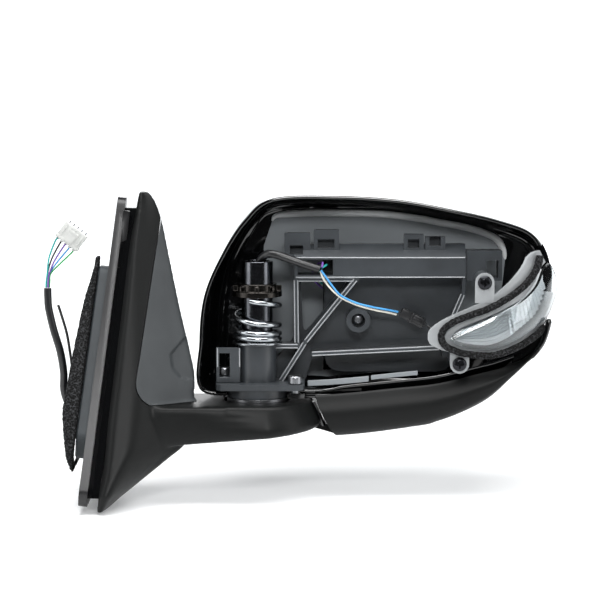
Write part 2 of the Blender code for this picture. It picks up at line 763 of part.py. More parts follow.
def buildFrame():
    H = headPoint
    outline = [(104, -23.5), (134, -23.5), H(140, -4), H(222.7, 0), H(239, 36), H(239, 61), H(126.8, 61), H(126.8, 7),
               (112, -11)]
    window = [H(131.5, 45), H(163.5, 45), H(133.2, 8.5)]
    frame = flat("head_frame", [rounded(outline, 3, 3), rounded(window, 2.5, 3)], frameThick,
                 facingY(frameY + frameThick / 2), "nylon")
    floorLow = frameFloorTop - frameFloorThick
    floor = rounded([(76, -20), (134, -20), (134, 20), (112, 26), (94, 26), (76, 18)], 8)
    join(frame, flat("frame_floor", [floor], frameFloorThick, facingZ((frameFloorTop + floorLow) / 2)))
    seatLow = footTop - 0.9 + 2 * gap + detentThick
    join(frame, cylinder("frame_seat", (pivotX, 0, seatLow), (pivotX, 0, frameFloorTop), detentRadius - 0.5, sides=28))
    join(frame, cylinder("frame_hub", (pivotX, 0, frameFloorTop - 2), (pivotX, 0, hubTop), hubRadius, sides=28))
    back = frameY + 1.0
    ribs = [("rib_post", H(128.4, 48), (129.8, 4.0)), ("rib_top", H(128.4, 46.6), H(169, 46.6)),
            ("rib_slope", H(167.6, 47), H(134.5, 5.5)), ("rib_low", H(134.5, 5.5), (118, -21)),
            ("rib_ledge", H(139, -2.5), H(222.7, 1.5)), ("rib_cross", (111.5, 2.6), (130.5, 2.6)),
            ("rib_end", H(238, 38), H(222.7, 1.5)), ("rib_side", H(238, 61), H(238, 38))]
    for name, start, end in ribs:
        join(frame, bar(name, start, end, back))
    beamLow, beamHigh = headZ(48), headZ(61)
    section = [(-4, beamLow), (-4, beamHigh), (6, beamHigh + 8), (frameY + 0.8, beamHigh + 8), (frameY + 0.8, beamLow)]
    left, right = headX(127.3), headX(239.3)
    join(frame, loft("frame_beam", [[(x, y, z) for y, z in section] for x in (left, right)]))
    for name, x, low, high, wide in (("clip_a", 120.5, 58, 76.6, 17), ("clip_b", 140, 62, 78.6, 16.5),
                                     ("clip_c", 199, 62, 75.7, 13), ("clip_d", 213, 64, 74, 13)):
        start = headX(x)
        if name == "clip_a":
            start = headX(127.3) - 6.5
        join(frame, box(name, (start, 1.5, headZ(low)), (start + wide, 8.5, headZ(high))))
    screwX, screwZ = H(169.2, 19.3)
    join(frame, cylinder("frame_boss", (screwX, ribFront + 2, screwZ), (screwX, frameY + 1, screwZ), 7.9))
    cut(frame, cylinder("boss_bore", (screwX, ribFront - 4, screwZ), (screwX, 6.0, screwZ), 4.6))
    cut(frame, cylinder("boss_thread", (screwX, 0, screwZ), (screwX, 30, screwZ), 2.3, sides=16))
    # the lower of the two posts that carry the lamp
    px, pz = H(*lampScrews[1][1:])
    join(frame, lampPost("lower", px, pz, frameY + 1))
    webLeft = headX(lampScrews[1][1] - 9)
    join(frame, box("lamp_post_web", (webLeft, frameY - 6, pz), (px + 2, frameY + 2.5, headZ(6))))
    cut(frame, lampPostHole("lower", px, pz))
    low, high = headZ(49.5), headZ(59.5)
    cut(frame, box("beam_window", (headX(129.5), -20, low), (headX(129.5) + 23, 40, high)))
    for name, x, y in boltPlaces:
        cut(frame, cylinder("frame_bolt_hole_" + name, (x, y, -40), (x, y, -10), 2.8, sides=16))
    cut(frame, cylinder("frame_hub_bore", (pivotX, 0, -50), (pivotX, 0, 40), postRadius + fit, sides=28))
    return frame


lampScrews = [("upper", 249.6, 47.2), ("lower", 233.7, -5.5)]


def lampPost(name, x, z, rear):
    return cylinder("lamp_post_" + name, (x, lampY(x) + flangeSet + lampFlange + gap, z), (x, rear, z), 5.2)


def lampPostHole(name, x, z):
    return cylinder("lamp_post_hole_" + name, (x, lampY(x), z), (x, -10, z), lampScrewShank + fit, sides=16)


def buildCapSocket():
    # the square socket at the beam's outer end that takes a clip of the painted cap
    left = headX(239.3) + gap
    socket = box("cap_socket", (left, -2.0, headZ(45.6)), (left + 23.4, frameY + 2, headZ(65.2)), "nylon")
    x, z = headPoint(*lampScrews[0][1:])
    join(socket, lampPost("upper", x, z, 2.0))
    cut(socket, lampPostHole("upper", x, z))
    cut(socket, box("socket_opening", (left + 13.0, -8, headZ(47.5)), (left + 21.0, 40, headZ(59))))


def buildCapBracket():
    # an upright slotted plate whose foot is held down by the inner bolt
    low = frameFloorTop + gap
    bracket = box("cap_bracket", (76.3, -11, low), (pivotX - hubRadius + 1.5, -8, 2.6), "nylon")
    join(bracket, box("bracket_foot", (76.3, -9, low), (86.2, 17.5, low + bracketFoot)))
    cut(bracket, box("bracket_slot", (78.3, -16, -16.8), (85.2, -5, -1.0)))
    x, y = boltPlaces[0][1:]
    cut(bracket, cylinder("bracket_bolt_hole", (x, y, low - 5), (x, y, low + 5), 2.8, sides=16))


def buildFrameScrews():
    for name, x, y in boltPlaces:
        top = frameFloorTop + gap
        if name == "inner":
            top += bracketFoot + gap
        turned("frame_bolt_" + name, [(0, 5.0), (4.2, 5.0), (4.8, 4.2), (4.8, 0), (2.4, 0), (2.4, -6.6), (0, -6.6)],
               (x, y, top), "steel", 12)
    x, z = headPoint(169.2, 19.3)
    turned("boss_screw", [(0, 2.4), (3.4, 2.4), (3.9, 1.6), (3.9, 0), (1.9, 0), (1.9, -9.0), (0, -9.0)],
           (x, 6.0 - gap, z), "steel", 18, "Y").rotation_euler = (math.pi / 2, 0, 0)


# ---- turn lamp, built as strips between a lower and an upper edge
lensLow = [(227.5, 10.4), (234, 6.8), (246.6, 4.6), (257, 5.0), (269, 9.2), (284.2, 17.0), (294, 23.4), (301, 36.5)]
lensHigh = [(227.7, 12.4), (237, 18.6), (248.2, 22.8), (262, 28.6), (275, 34.8), (285, 43.5), (290, 53.5), (294.5, 57)]
flangeLow = [(213.0, 11.0), (222, 3.8), (237, 0.2), (251, -1.8), (265, 1.6), (281, 8.2), (292.5, 16.2), (300.6, 27)]
flangeHigh = [(213.2, 14.0), (221.6, 22.6), (243.3, 32.5), (255, 38.4), (267.5, 47.2), (277.5, 57.2), (281.5, 64),
              (289.5, 66)]


def edge(points, count):
    return evenLine([Vector(headPoint(*p)) for p in points], count)


def acrossPoints(low, high, count):
    return [(low[0] + (high[0] - low[0]) * k / count, low[1] + (high[1] - low[1]) * k / count) for k in range(count + 1)]


def strip(name, lowEdge, highEdge, front, thick, slot, stations=20, across=4, bulge=0.0, inset=0.0, span=(0.0, 1.0)):
    # a curved strip that follows the lamp's face, front and back skins joined into one solid
    total = 40
    lows = edge(lowEdge, total + 1)
    highs = edge(highEdge, total + 1)
    rings = []
    for s in range(stations + 1):
        place = (span[0] + (span[1] - span[0]) * s / stations) * total
        i = min(int(place), total - 1)
        t = place - i
        low = Vector(lows[i]).lerp(Vector(lows[i + 1]), t)
        high = Vector(highs[i]).lerp(Vector(highs[i + 1]), t)
        way = (high - low).normalized() * min(inset, (high - low).length * 0.3)
        low, high = low + way, high - way
        ring = []
        for depth, order in ((front, 1), (front + thick, -1)):
            row = acrossPoints(low, high, across)
            for k, (x, z) in list(enumerate(row))[::order]:
                swell = bulge * math.sin(math.pi * k / across)
                ring.append(lampPoint(x, z, depth - swell))
        rings.append(ring)
    return loft(name, rings, slot)


def buildLamp():
    strip("lamp_lens", lensLow, lensHigh, 0.0, lensWall, "clear_lens", 18, 4, 2.0)
    total = 18
    lens = [edge(lensLow, total + 1), edge(lensHigh, total + 1)]
    flange = [edge(flangeLow, total + 1), edge(flangeHigh, total + 1)]
    deep = lampDepth
    rings = []
    for s in range(total + 1):
        ll, lh, fl, fh = (Vector(row[s]) for row in (lens[0], lens[1], flange[0], flange[1]))
        way = (lh - ll).normalized()
        wide = (lh - ll).length
        near = min(0.6, wide * 0.2)
        section = [(fl, flangeSet), (ll - way * near, flangeSet), (ll + way * near, deep - 2), (lh - way * near, deep - 2),
                   (lh + way * near, flangeSet), (fh, flangeSet), (fh, flangeSet + lampFlange),
                   (lh + way * 2.2, flangeSet + lampFlange), (lh + way * 1.2, deep), (ll - way * 1.2, deep),
                   (ll - way * 2.2, flangeSet + lampFlange), (fl, flangeSet + lampFlange)]
        rings.append([lampPoint(p[0], p[1], d) for p, d in section])
    housing = loft("lamp_housing", rings, "lamp_grey")
    for name, x, z in lampScrews:
        px, pz = headPoint(x, z)
        front = lampY(px) + flangeSet
        side = 6.2
        toward = headZ(34) if name == "upper" else headZ(3.5)
        turn = 0.0 if toward < pz else math.pi
        tab = [(px - math.copysign(side, pz - toward), toward), (px + math.copysign(side, pz - toward), toward)]
        tab += disc(side, (px, pz), 14, turn, math.pi) + [(px - math.copysign(side, pz - toward), pz)]
        join(housing, flat("lamp_tab_" + name, [tab], lampFlange, facingY(front + lampFlange / 2)))
    for name, x, z in lampScrews:
        px, pz = headPoint(x, z)
        front = lampY(px) + flangeSet
        cut(housing, cylinder("lamp_tab_hole_" + name, (px, front - 8, pz), (px, front + 8, pz), lampScrewShank + fit,
                              sides=16))
        head = lampScrewHead
        turned("lamp_screw_" + name, [(0, 2.6), (head * 0.7, 2.6), (head, 1.7), (head, 0), (lampScrewShank, 0),
               (lampScrewShank, -12), (0, -12)], (px, front - gap, pz), "dark_steel", 20,
               "Y").rotation_euler = (math.pi / 2, 0, 0)
    strip("lamp_reflector", lensLow, lensHigh, 7.0, 1.2, "silver_coat", 14, 3, 0.0, 2.6, (0.08, 0.95))
    strip("lamp_board", lensLow, lensHigh, 10.6, 1.4, "board", 8, 2, 0.0, 3.4, (0.35, 0.75))
    path = [(287.4, 63), (284.6, 54.4), (278.2, 46.6), (268, 39), (254.4, 31.6), (242.6, 27.2), (229.2, 21.8),
            (222.2, 15.4), (223, 8.2), (229.6, 3.8), (239.6, 1.2), (255, 0.4), (270.5, 4.6), (284.4, 11.0), (291.5, 16.0)]
    points = evenLine([Vector(headPoint(*p)) for p in path], 34)
    tube("lamp_seal", [lampPoint(x, z, flangeSet - sealRadius - gap) for x, z in points], 2 * sealRadius, "foam", 2)


# ---------------------------------------------------------------- glass and its drive
def buildGlass():
    bezel = headOutline(bezelY)
    centre = Vector(glassCentre)
    outline = [centre + (point - centre) * holderShare for point in inward(bezel, housingWall)]
    inner = inward(outline, 1.4)
    heater = inward(outline, 4.0)
    glass = inward(outline, 1.9)
    y = holderY
    rings = [atY(outline, y), atY(outline, y + holderThick + 3.4), atY(inner, y + holderThick + 3.4),
             atY(inner, y + holderThick)]
    holder = loft("glass_holder", rings, "gloss_plastic")
    loft("heater_pad", [atY(heater, y + holderThick + gap), atY(heater, y + holderThick + 2 * gap)], "heater_film")
    low = y + holderThick + 3 * gap
    loft("mirror_glass", [atY(glass, low), atY(glass, low + glassThick - 0.4),
                          atY(inward(glass, 0.5), low + glassThick)], "mirror")
    cx, cz = glassCentre
    for side in (-1, 1):
        lug = box("holder_lug_%d" % side, (cx - 3, gimbalY - 3.5, cz + side * 14.2 - 1.3),
                  (cx + 3, y + 1, cz + side * 14.2 + 1.3))
        join(holder, lug)
    for side in (-1, 1):
        cut(holder, cylinder("lug_hole_%d" % side, (cx, gimbalY, cz + side * 11), (cx, gimbalY, cz + side * 18), 2.0,
                             sides=16))
    for name, x, z in plungers:
        cup = cylinder("cup_" + name, (x, gimbalY - 1.5, z), (x, y + 1, z), 6.2, sides=24)
        join(holder, cup)
    for name, x, z in plungers:
        cut(holder, cylinder("cup_room_" + name, (x, gimbalY - 6, z), (x, y + 0.6, z), 4.2, sides=24))
    ring = turned("gimbal_ring", [(11.2, 2.0), (11.2, -2.0), (8.6, -2.0), (8.6, 2.0)], (cx, gimbalY, cz),
                  "white_nylon", 28, "Y")
    for number, way in enumerate(((1, 0), (-1, 0), (0, 1), (0, -1))):
        start = (cx + way[0] * 10, gimbalY, cz + way[1] * 10)
        end = (cx + way[0] * 15.6, gimbalY, cz + way[1] * 15.6)
        join(ring, cylinder("gimbal_pin_%d" % number, start, end, 1.6, sides=16))


plungers = [("tilt", glassCentre[0], glassCentre[1] + plungerArmZ), ("pan", glassCentre[0] + plungerArmX, glassCentre[1])]


def buildActuator():
    cx, cz = glassCentre
    hx, hz = actuatorHalfX, actuatorHalfZ
    outline = rounded([(cx - hx, cz - hz), (cx + hx, cz - hz), (cx + hx, cz + hz), (cx - hx, cz + hz)], 12)
    w = actuatorWall
    inside = rounded([(cx - hx + w, cz - hz + w), (cx + hx - w, cz - hz + w), (cx + hx - w, cz + hz - w),
                      (cx - hx + w, cz + hz - w)], 10)
    front = actuatorFront + w + gap
    case = flat("actuator_case", [outline], actuatorRear - front, facingY((actuatorRear + front) / 2), "nylon")
    cut(case, flat("case_room", [inside], actuatorRear - front - w + 6, facingY((front - 6 + actuatorRear - w) / 2)))
    for side in (-1, 1):
        x = cx + side * 14.2
        ear = box("gimbal_ear_%d" % side, (x - 1.3, actuatorRear - 0.7, cz - 3.4), (x + 1.3, gimbalY + 2.2, cz + 3.4))
        join(case, ear).solver = "MANIFOLD"
    for side in (-1, 1):
        cut(case, cylinder("ear_hole_%d" % side, (cx + side * 11, gimbalY, cz), (cx + side * 18, gimbalY, cz), 2.0,
                           sides=16))
    for name, x, z in plungers:
        cut(case, cylinder("plunger_hole_" + name, (x, 30, z), (x, 50, z), plungerRadius + 0.6, sides=20))
    flat("actuator_cover", [outline], w, facingY(actuatorFront + w / 2), "nylon")
    for name, x, z in plungers:
        turned("plunger_" + name, [(0, 3.1), (1.6, 2.7), (2.7, 1.6), (3.1, 0), (2.2, -2.4), (plungerRadius, -3.4),
               (plungerRadius, -22.5), (0, -22.5)], (x, gimbalY, z), "white_nylon", 20, "Y")
        gear = gearOutline(x, z)
        bore = [(x + (plungerRadius + 0.5) * math.cos(a), z + (plungerRadius + 0.5) * math.sin(a))
                for a in [2 * math.pi * k / 20 for k in range(20)]]
        placed = flat("drive_gear_" + name, [gear, bore], 6.0, facingY(31.0), "white_nylon")
        originTo(placed, (x, 31.0, z))
    tx, tz = plungers[0][1] - gearRadius - 3.6, plungers[0][2]
    profile = [(0, 18), (2.6, 18), (2.6, 2.5), (1.0, 2.5), (1.0, 0), (motorRadius, 0), (motorRadius, -24), (0, -24)]
    turned("motor_tilt", profile, (tx, 29.5, tz - 9), "steel", 24)
    px, pz = plungers[1][1], plungers[1][2] - gearRadius - 3.6
    turned("motor_pan", profile, (px - 9.5, 29.5, pz), "steel", 24, "X")


def gearOutline(x, z):
    outline = []
    for k in range(gearTeeth * 4):
        angle = 2 * math.pi * k / (gearTeeth * 4)
        radius = gearRadius if k % 4 < 2 else gearRadius - 1.3
        outline.append((x + radius * math.cos(angle), z + radius * math.sin(angle)))
    return outline


def originTo(made, place):
    shift = Matrix.Translation(Vector(place) * mm)
    made.data.transform(shift.inverted() @ made.matrix_world)
    made.matrix_world = shift


# ---------------------------------------------------------------- cables, each along its own route
sheathRoute = [(103, 0, -38), (103, 0, -10), (103, 0, 20), (103, 0, 48), (104.2, -1.5, 57.5), (108.6, -4.5, 62.9),
               (114.5, -7.2, 63.4), (124.9, -8.6, 60.1), (134.9, -9.0, 56.6), (143.6, -9.0, 53.8)]
blueRoute = [(144.6, -9.9, 53.2), (148, -9.5, 48.6), (152.4, -8.0, 42.4), (157.6, -6.5, 36.4), (167.5, -6.0, 31.6),
             (178.4, -4.5, 28.6), (188, -2.4, 26.6), (195.2, 1.4, 24.8)]
whiteRoute = [(144.3, -8.0, 52.5), (146.2, -8.1, 47.6), (151.6, -7.4, 40.4), (158.6, -5.2, 34.4), (168.5, -4.8, 29.9),
              (179.4, -3.2, 26.6), (188.6, -1.0, 24.6), (194.2, 1.6, 23.0)]
tealRoute = [(145.0, -7.9, 54.6), (147.6, -5.4, 55.8), (148.4, 0.4, 56.0), (147.2, 8.0, 54.8), (144.4, 16.5, 51.5),
             (142.6, 20.0, 46.0), (145.9, 21.5, 41.0)]
purpleRoute = [(145.2, -10.1, 55.3), (145.8, -6.6, 57.6), (145.4, 0.0, 57.4), (144.0, 8.0, 56.4), (140.6, 17.0, 53.0),
               (139.6, 21.0, 45.0), (145.9, 23.5, 38.0)]
tailRoute = [(214.9, 3.4, 15.2), (218.5, 1.0, 12.4), (221.0, -5.4, 9.0), (225.4, -10.6, 7.6), (232.0, -11.8, 9.0),
             (236.6, -12.6, 11.0), (237.8, -15.4, 11.9)]
doorRoute = [(40, -2, -45.8), (22, -2, -45.8), (6, -2, -45.4), (-8, -2, -44.2), (-19, -3, -38.5), (-23.6, -5, -27),
             (-23.6, -7, -14), (-25.6, -8, 0), (-29.6, -8, 13.8), (-32.7, -8, 27.8), (-33.2, -8, 35.0), (-33.3, -8, 41.5)]
leadRoute = [(-26.9, -5.0, 30.0), (-24.6, -3.6, 22), (-21.6, -2.0, 10.0), (-19.6, -1.0, -4.0), (-18.2, 1.0, -16),
             (-15.4, 2.0, -26), (-11.6, 3.0, -34)]
connectorCentre = Vector((-17.2, -8.0, 75.4))
connectorLean = math.radians(38)
connectorSize = (17.0, 8.0, 12.0)
doorWires = [("green", 4, 0.0), ("blue", 3, 1.4), ("black", 1, 1.4), ("teal", 0, -1.4), ("purple", 2, -1.4)]
doorWireDiameter = 1.1
wireDiameter = 1.3
leadDiameter = 1.8
sheathDiameter = 5.3
doorCableDiameter = 5.0


def doorWireRoute(number):
    # the wires leave the sheath as a tight bundle, then fan out to the connector's row of contacts
    angle = 2 * math.pi * number / len(doorWires)
    dx, dy = 1.2 * math.cos(angle), 1.2 * math.sin(angle)
    across = Vector((math.cos(connectorLean), 0, -math.sin(connectorLean)))
    along = Vector((math.sin(connectorLean), 0, math.cos(connectorLean)))
    contact, row = doorWires[number][1:]
    slot = connectorCentre - along * (connectorSize[2] / 2 + gap) + across * (contact - 2) * 3.2
    slot = slot + Vector((0, row, 0))
    start = Vector(doorRoute[-1]) + Vector((dx, dy, gap))
    spread = (slot - along * 8) * 0.55 + (start + Vector((1.0, 0, 11.0))) * 0.45
    return [start, start + Vector((0.2, 0, 4)), start + Vector((0.9, 0, 9)), spread, slot - along * 3.0, slot]


def corded(name, route, diameter, slot, count, detail=2):
    return tube(name, evenLine([Vector(p) for p in route], count), diameter, slot, detail)


def buildCables():
    corded("head_sheath", sheathRoute, sheathDiameter, "sheath", 24, 2)
    corded("lamp_wire_blue", blueRoute, wireDiameter, "wire_blue", 22)
    corded("lamp_wire_white", whiteRoute, wireDiameter, "wire_white", 22)
    corded("drive_wire_teal", tealRoute, wireDiameter, "wire_teal", 16)
    corded("drive_wire_purple", purpleRoute, wireDiameter, "wire_purple", 16)
    corded("lamp_tail", tailRoute, leadDiameter, "wire_black", 12)
    corded("door_cable", doorRoute, doorCableDiameter, "sheath", 22, 2)
    corded("door_lead", leadRoute, leadDiameter, "wire_black", 18)
    for number, (colour, _, _) in enumerate(doorWires):
        corded("door_wire_" + colour, doorWireRoute(number), doorWireDiameter, "wire_" + colour, 14)
    plug = box("lamp_plug", (-9.2, -2.4, -3.2), (9.2, 4.2, 3.2), "plug_plastic")
    plug.matrix_world = Matrix.Translation((205.4 * mm, 3.2 * mm, 20.2 * mm)) @ Matrix.Rotation(math.radians(28), 4, "Y")
    half = [size / 2 for size in connectorSize]
    body = box("door_connector", [-size for size in half], half, "white_nylon")
    body.matrix_world = Matrix.Translation(connectorCentre * mm) @ Matrix.Rotation(connectorLean, 4, "Y")


def build():
    buildCover()
    buildCasting()
    buildInserts()
    buildDoorSeal()
    buildPivot()
    buildHousing()
    buildLowerCover()
    buildFrame()
    buildCapBracket()
    buildCapSocket()
    buildFrameScrews()
    buildLamp()
    buildGlass()
    buildActuator()
    buildCables()


build()
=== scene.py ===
import json
import math
import bpy
import bmesh
from mathutils import Matrix, Vector, noise

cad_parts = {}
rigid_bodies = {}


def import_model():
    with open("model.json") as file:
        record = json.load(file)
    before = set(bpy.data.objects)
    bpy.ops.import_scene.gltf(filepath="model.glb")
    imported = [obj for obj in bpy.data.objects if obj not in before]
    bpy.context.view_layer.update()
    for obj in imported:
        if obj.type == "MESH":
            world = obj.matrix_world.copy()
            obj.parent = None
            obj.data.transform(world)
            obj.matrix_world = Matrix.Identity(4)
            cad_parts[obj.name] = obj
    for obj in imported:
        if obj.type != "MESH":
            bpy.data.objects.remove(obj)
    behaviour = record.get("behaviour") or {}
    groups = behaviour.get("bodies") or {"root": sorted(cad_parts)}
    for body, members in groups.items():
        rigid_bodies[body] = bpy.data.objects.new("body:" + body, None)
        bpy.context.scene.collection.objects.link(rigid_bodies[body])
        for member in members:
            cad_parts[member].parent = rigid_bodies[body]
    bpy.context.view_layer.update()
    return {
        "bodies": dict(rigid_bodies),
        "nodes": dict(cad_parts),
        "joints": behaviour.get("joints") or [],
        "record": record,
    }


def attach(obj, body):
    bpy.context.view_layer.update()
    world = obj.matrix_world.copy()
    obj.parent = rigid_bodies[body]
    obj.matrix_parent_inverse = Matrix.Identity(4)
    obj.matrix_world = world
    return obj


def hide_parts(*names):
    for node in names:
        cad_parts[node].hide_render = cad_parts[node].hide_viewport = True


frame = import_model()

nodes = frame["nodes"]
mm = 0.001
print("frame loaded:", len(nodes), "parts")


def linear(code):
    parts = [int(code[i:i + 2], 16) / 255 for i in (1, 3, 5)]
    return tuple(c / 12.92 if c <= 0.04045 else ((c + 0.055) / 1.055) ** 2.4 for c in parts) + (1.0,)


def addNode(made, kind, values=None, links=None, **settings):
    item = made.node_tree.nodes.new(kind)
    for name, value in settings.items():
        setattr(item, name, value)
    for socket, value in (values or {}).items():
        item.inputs[socket].default_value = value
    for socket, source in (links or {}).items():
        made.node_tree.links.new(source, item.inputs[socket])
    return item


def bodyOf(name):
    return nodes[name].parent.name.split(":")[-1]


def keepMesh(piece):
    # the modifiers' result becomes the piece's own mesh
    bpy.context.view_layer.update()
    graph = bpy.context.evaluated_depsgraph_get()
    mesh = bpy.data.meshes.new_from_object(piece.evaluated_get(graph))
    old = piece.data
    piece.modifiers.clear()
    piece.data = mesh
    bpy.data.meshes.remove(old)
    return piece


def shade(piece, angle=35):
    # rounded faces look smooth, and edges sharper than the angle stay crisp
    mesh = piece.data
    work = bmesh.new()
    work.from_mesh(mesh)
    limit = math.radians(angle)
    for face in work.faces:
        face.smooth = True
    for line in work.edges:
        line.smooth = len(line.link_faces) == 2 and line.calc_face_angle(0) < limit
    work.to_mesh(mesh)
    work.free()
    return piece


def newPiece(name, mesh, finish):
    piece = bpy.data.objects.new(name, mesh)
    bpy.context.scene.collection.objects.link(piece)
    if finish:
        mesh.materials.append(finish)
    return piece


def fromWork(name, work, finish, angle=35):
    bmesh.ops.recalc_face_normals(work, faces=work.faces)
    mesh = bpy.data.meshes.new(name)
    work.to_mesh(mesh)
    work.free()
    return shade(newPiece(name, mesh, finish), angle)


def loft(name, rings, finish=None, closed=False, angle=35):
    # rings of equal count in millimetres; closed joins the last to the first, else the ends are capped
    work = bmesh.new()
    rows = [[work.verts.new(Vector(point) * mm) for point in ring] for ring in rings]
    count = len(rings[0])
    pairs = list(zip(rows, rows[1:]))
    if closed:
        pairs.append((rows[-1], rows[0]))
    for lower, upper in pairs:
        for i in range(count):
            j = (i + 1) % count
            work.faces.new((lower[i], lower[j], upper[j], upper[i]))
    if not closed:
        work.faces.new(list(reversed(rows[0])))
        work.faces.new(rows[-1])
    return fromWork(name, work, finish, angle)


def turned(name, profile, centre, finish, steps=64, axis="Z", angle=35):
    # (radius, height) pairs down the outer side and, for a ring, back up the bore
    work = bmesh.new()
    turns = {"Z": Matrix.Identity(3), "Y": Matrix.Rotation(-math.pi / 2, 3, "X"),
             "-Y": Matrix.Rotation(math.pi / 2, 3, "X"), "X": Matrix.Rotation(math.pi / 2, 3, "Y")}
    rows = []
    for k in range(steps):
        spin = 2 * math.pi * k / steps
        row = []
        for radius, height in profile:
            point = turns[axis] @ Vector((radius * math.cos(spin), radius * math.sin(spin), height))
            row.append(work.verts.new((Vector(centre) + point) * mm))
        rows.append(row)
    ring = profile[0][0] > 0
    for k in range(steps):
        a, b = rows[k], rows[(k + 1) % steps]
        for i in range(len(profile) - (0 if ring else 1)):
            j = (i + 1) % len(profile)
            work.faces.new((a[i], a[j], b[j], b[i]))
    bmesh.ops.remove_doubles(work, verts=work.verts, dist=0.000001)
    return fromWork(name, work, finish, angle)


def block(name, low, high, finish=None, soften=0.0, turn=None):
    # a moulded block with softened edges
    work = bmesh.new()
    bmesh.ops.create_cube(work, size=1.0)
    size = [(b - a) * mm for a, b in zip(low, high)]
    middle = [(a + b) / 2 * mm for a, b in zip(low, high)]
    bmesh.ops.transform(work, matrix=Matrix.Translation(middle) @ Matrix.Diagonal((*size, 1.0)),
                        verts=work.verts)
    if soften:
        bmesh.ops.bevel(work, geom=work.edges[:], offset=soften * mm, segments=3, profile=0.5, affect="EDGES")
    if turn:
        bmesh.ops.transform(work, matrix=turn, verts=work.verts)
    return fromWork(name, work, finish)


def drum(name, start, end, radius, finish=None, soften=0.0, sides=48, tip=None):
    a, b = Vector(start), Vector(end)
    long = (b - a).length
    end = radius if tip is None else tip
    s = soften
    profile = [(0, long), (end - s, long), (end, long - s), (radius, s), (radius - s, 0), (0, 0)]
    if not s:
        profile = [(0, long), (end, long), (radius, 0), (0, 0)]
    piece = turned(name, profile, (0, 0, 0), finish, sides)
    turn = Vector((0, 0, 1)).rotation_difference(b - a).to_matrix().to_4x4()
    piece.data.transform(Matrix.Translation(a * mm) @ turn)
    return piece


def curvePoint(points, place):
    span = min(int(place), len(points) - 2)
    t = place - span
    at = [Vector(points[max(0, min(len(points) - 1, span + k))]) for k in (-1, 0, 1, 2)]
    return 0.5 * (2 * at[1] + (at[2] - at[0]) * t + (2 * at[0] - 5 * at[1] + 4 * at[2] - at[3]) * t * t
                  + (3 * at[1] - at[0] - 3 * at[2] + at[3]) * t ** 3)


def smoothLine(points, each):
    return [curvePoint(points, k / each) for k in range((len(points) - 1) * each + 1)]


def blendValue(pairs, at):
    # straight lines between (place, value) pairs
    if at <= pairs[0][0]:
        return pairs[0][1]
    for (a, va), (b, vb) in zip(pairs, pairs[1:]):
        if at <= b:
            return va + (vb - va) * (at - a) / (b - a)
    return pairs[-1][1]


def evenLine(points, count):
    fine = smoothLine(points, 24)
    run = [0.0]
    for a, b in zip(fine, fine[1:]):
        run.append(run[-1] + (b - a).length)
    marks = [run[-1] * k / (count - 1) for k in range(count)]
    line = []
    i = 0
    for mark in marks:
        while i < len(run) - 2 and run[i + 1] < mark:
            i += 1
        share = (mark - run[i]) / max(run[i + 1] - run[i], 1e-9)
        line.append(fine[i].lerp(fine[i + 1], min(1.0, share)))
    return line


def smoothLoop(points, each):
    wrapped = points[-1:] + points + points[:2]
    loop = []
    for span in range(1, len(points) + 1):
        for k in range(each):
            loop.append(curvePoint(wrapped, span + k / each))
    return loop


def rounded(points, radius, steps=8):
    loop = []
    for i, corner in enumerate(points):
        here = Vector(corner)
        before = Vector(points[i - 1]) - here
        after = Vector(points[(i + 1) % len(points)]) - here
        half = before.angle(after) / 2
        reach = min(radius / math.tan(half), before.length * 0.45, after.length * 0.45)
        a = here + before.normalized() * reach
        b = here + after.normalized() * reach
        for k in range(steps + 1):
            t = k / steps
            loop.append(a * (1 - t) ** 2 + here * 2 * t * (1 - t) + b * t * t)
    return loop


def inward(loop, distance):
    moved = []
    for i, point in enumerate(loop):
        along = (loop[(i + 1) % len(loop)] - loop[i - 1]).normalized()
        moved.append(Vector((point[0] + along[1] * distance, point[1] - along[0] * distance)))
    return moved


def boolean(piece, tool, operation="DIFFERENCE", solver="MANIFOLD"):
    step = piece.modifiers.new(operation.title(), "BOOLEAN")
    step.operation = operation
    step.object = tool
    step.solver = solver
    keepMesh(piece)
    bpy.data.objects.remove(tool)
    return piece


def joined(name, pieces, finish, angle=35):
    # separate shells that make one moulding
    work = bmesh.new()
    for piece in pieces:
        work.from_mesh(piece.data)
        bpy.data.objects.remove(piece)
    for face in work.faces:
        face.material_index = 0
    return fromWork(name, work, finish, angle)


def softened(piece, width, segments=2, angle=35):
    step = piece.modifiers.new("Softened edges", "BEVEL")
    step.width = width * mm
    step.segments = segments
    step.limit_method = "ANGLE"
    step.angle_limit = math.radians(angle)
    step.harden_normals = False
    return piece


def refined(name, finish, width=0.25, segments=2, angle=32, title=None):
    # a finer copy of a part of the frame: flats made whole, edges softened
    source = nodes[name]
    work = bmesh.new()
    work.from_mesh(source.data)
    bmesh.ops.remove_doubles(work, verts=work.verts, dist=0.00001)
    bmesh.ops.dissolve_limit(work, angle_limit=math.radians(1.2), verts=work.verts, edges=work.edges)
    piece = fromWork(title or name + "_finished", work, None, angle)
    piece.data.materials.clear()
    piece.data.materials.append(finish)
    if width:
        softened(piece, width, segments, angle)
    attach(piece, bodyOf(name))
    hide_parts(name)
    return piece


def stands(piece, *names, slot=None):
    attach(piece, bodyOf(names[0]))
    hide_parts(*names)
    return piece


def rides(piece, body):
    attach(piece, body)
    return piece
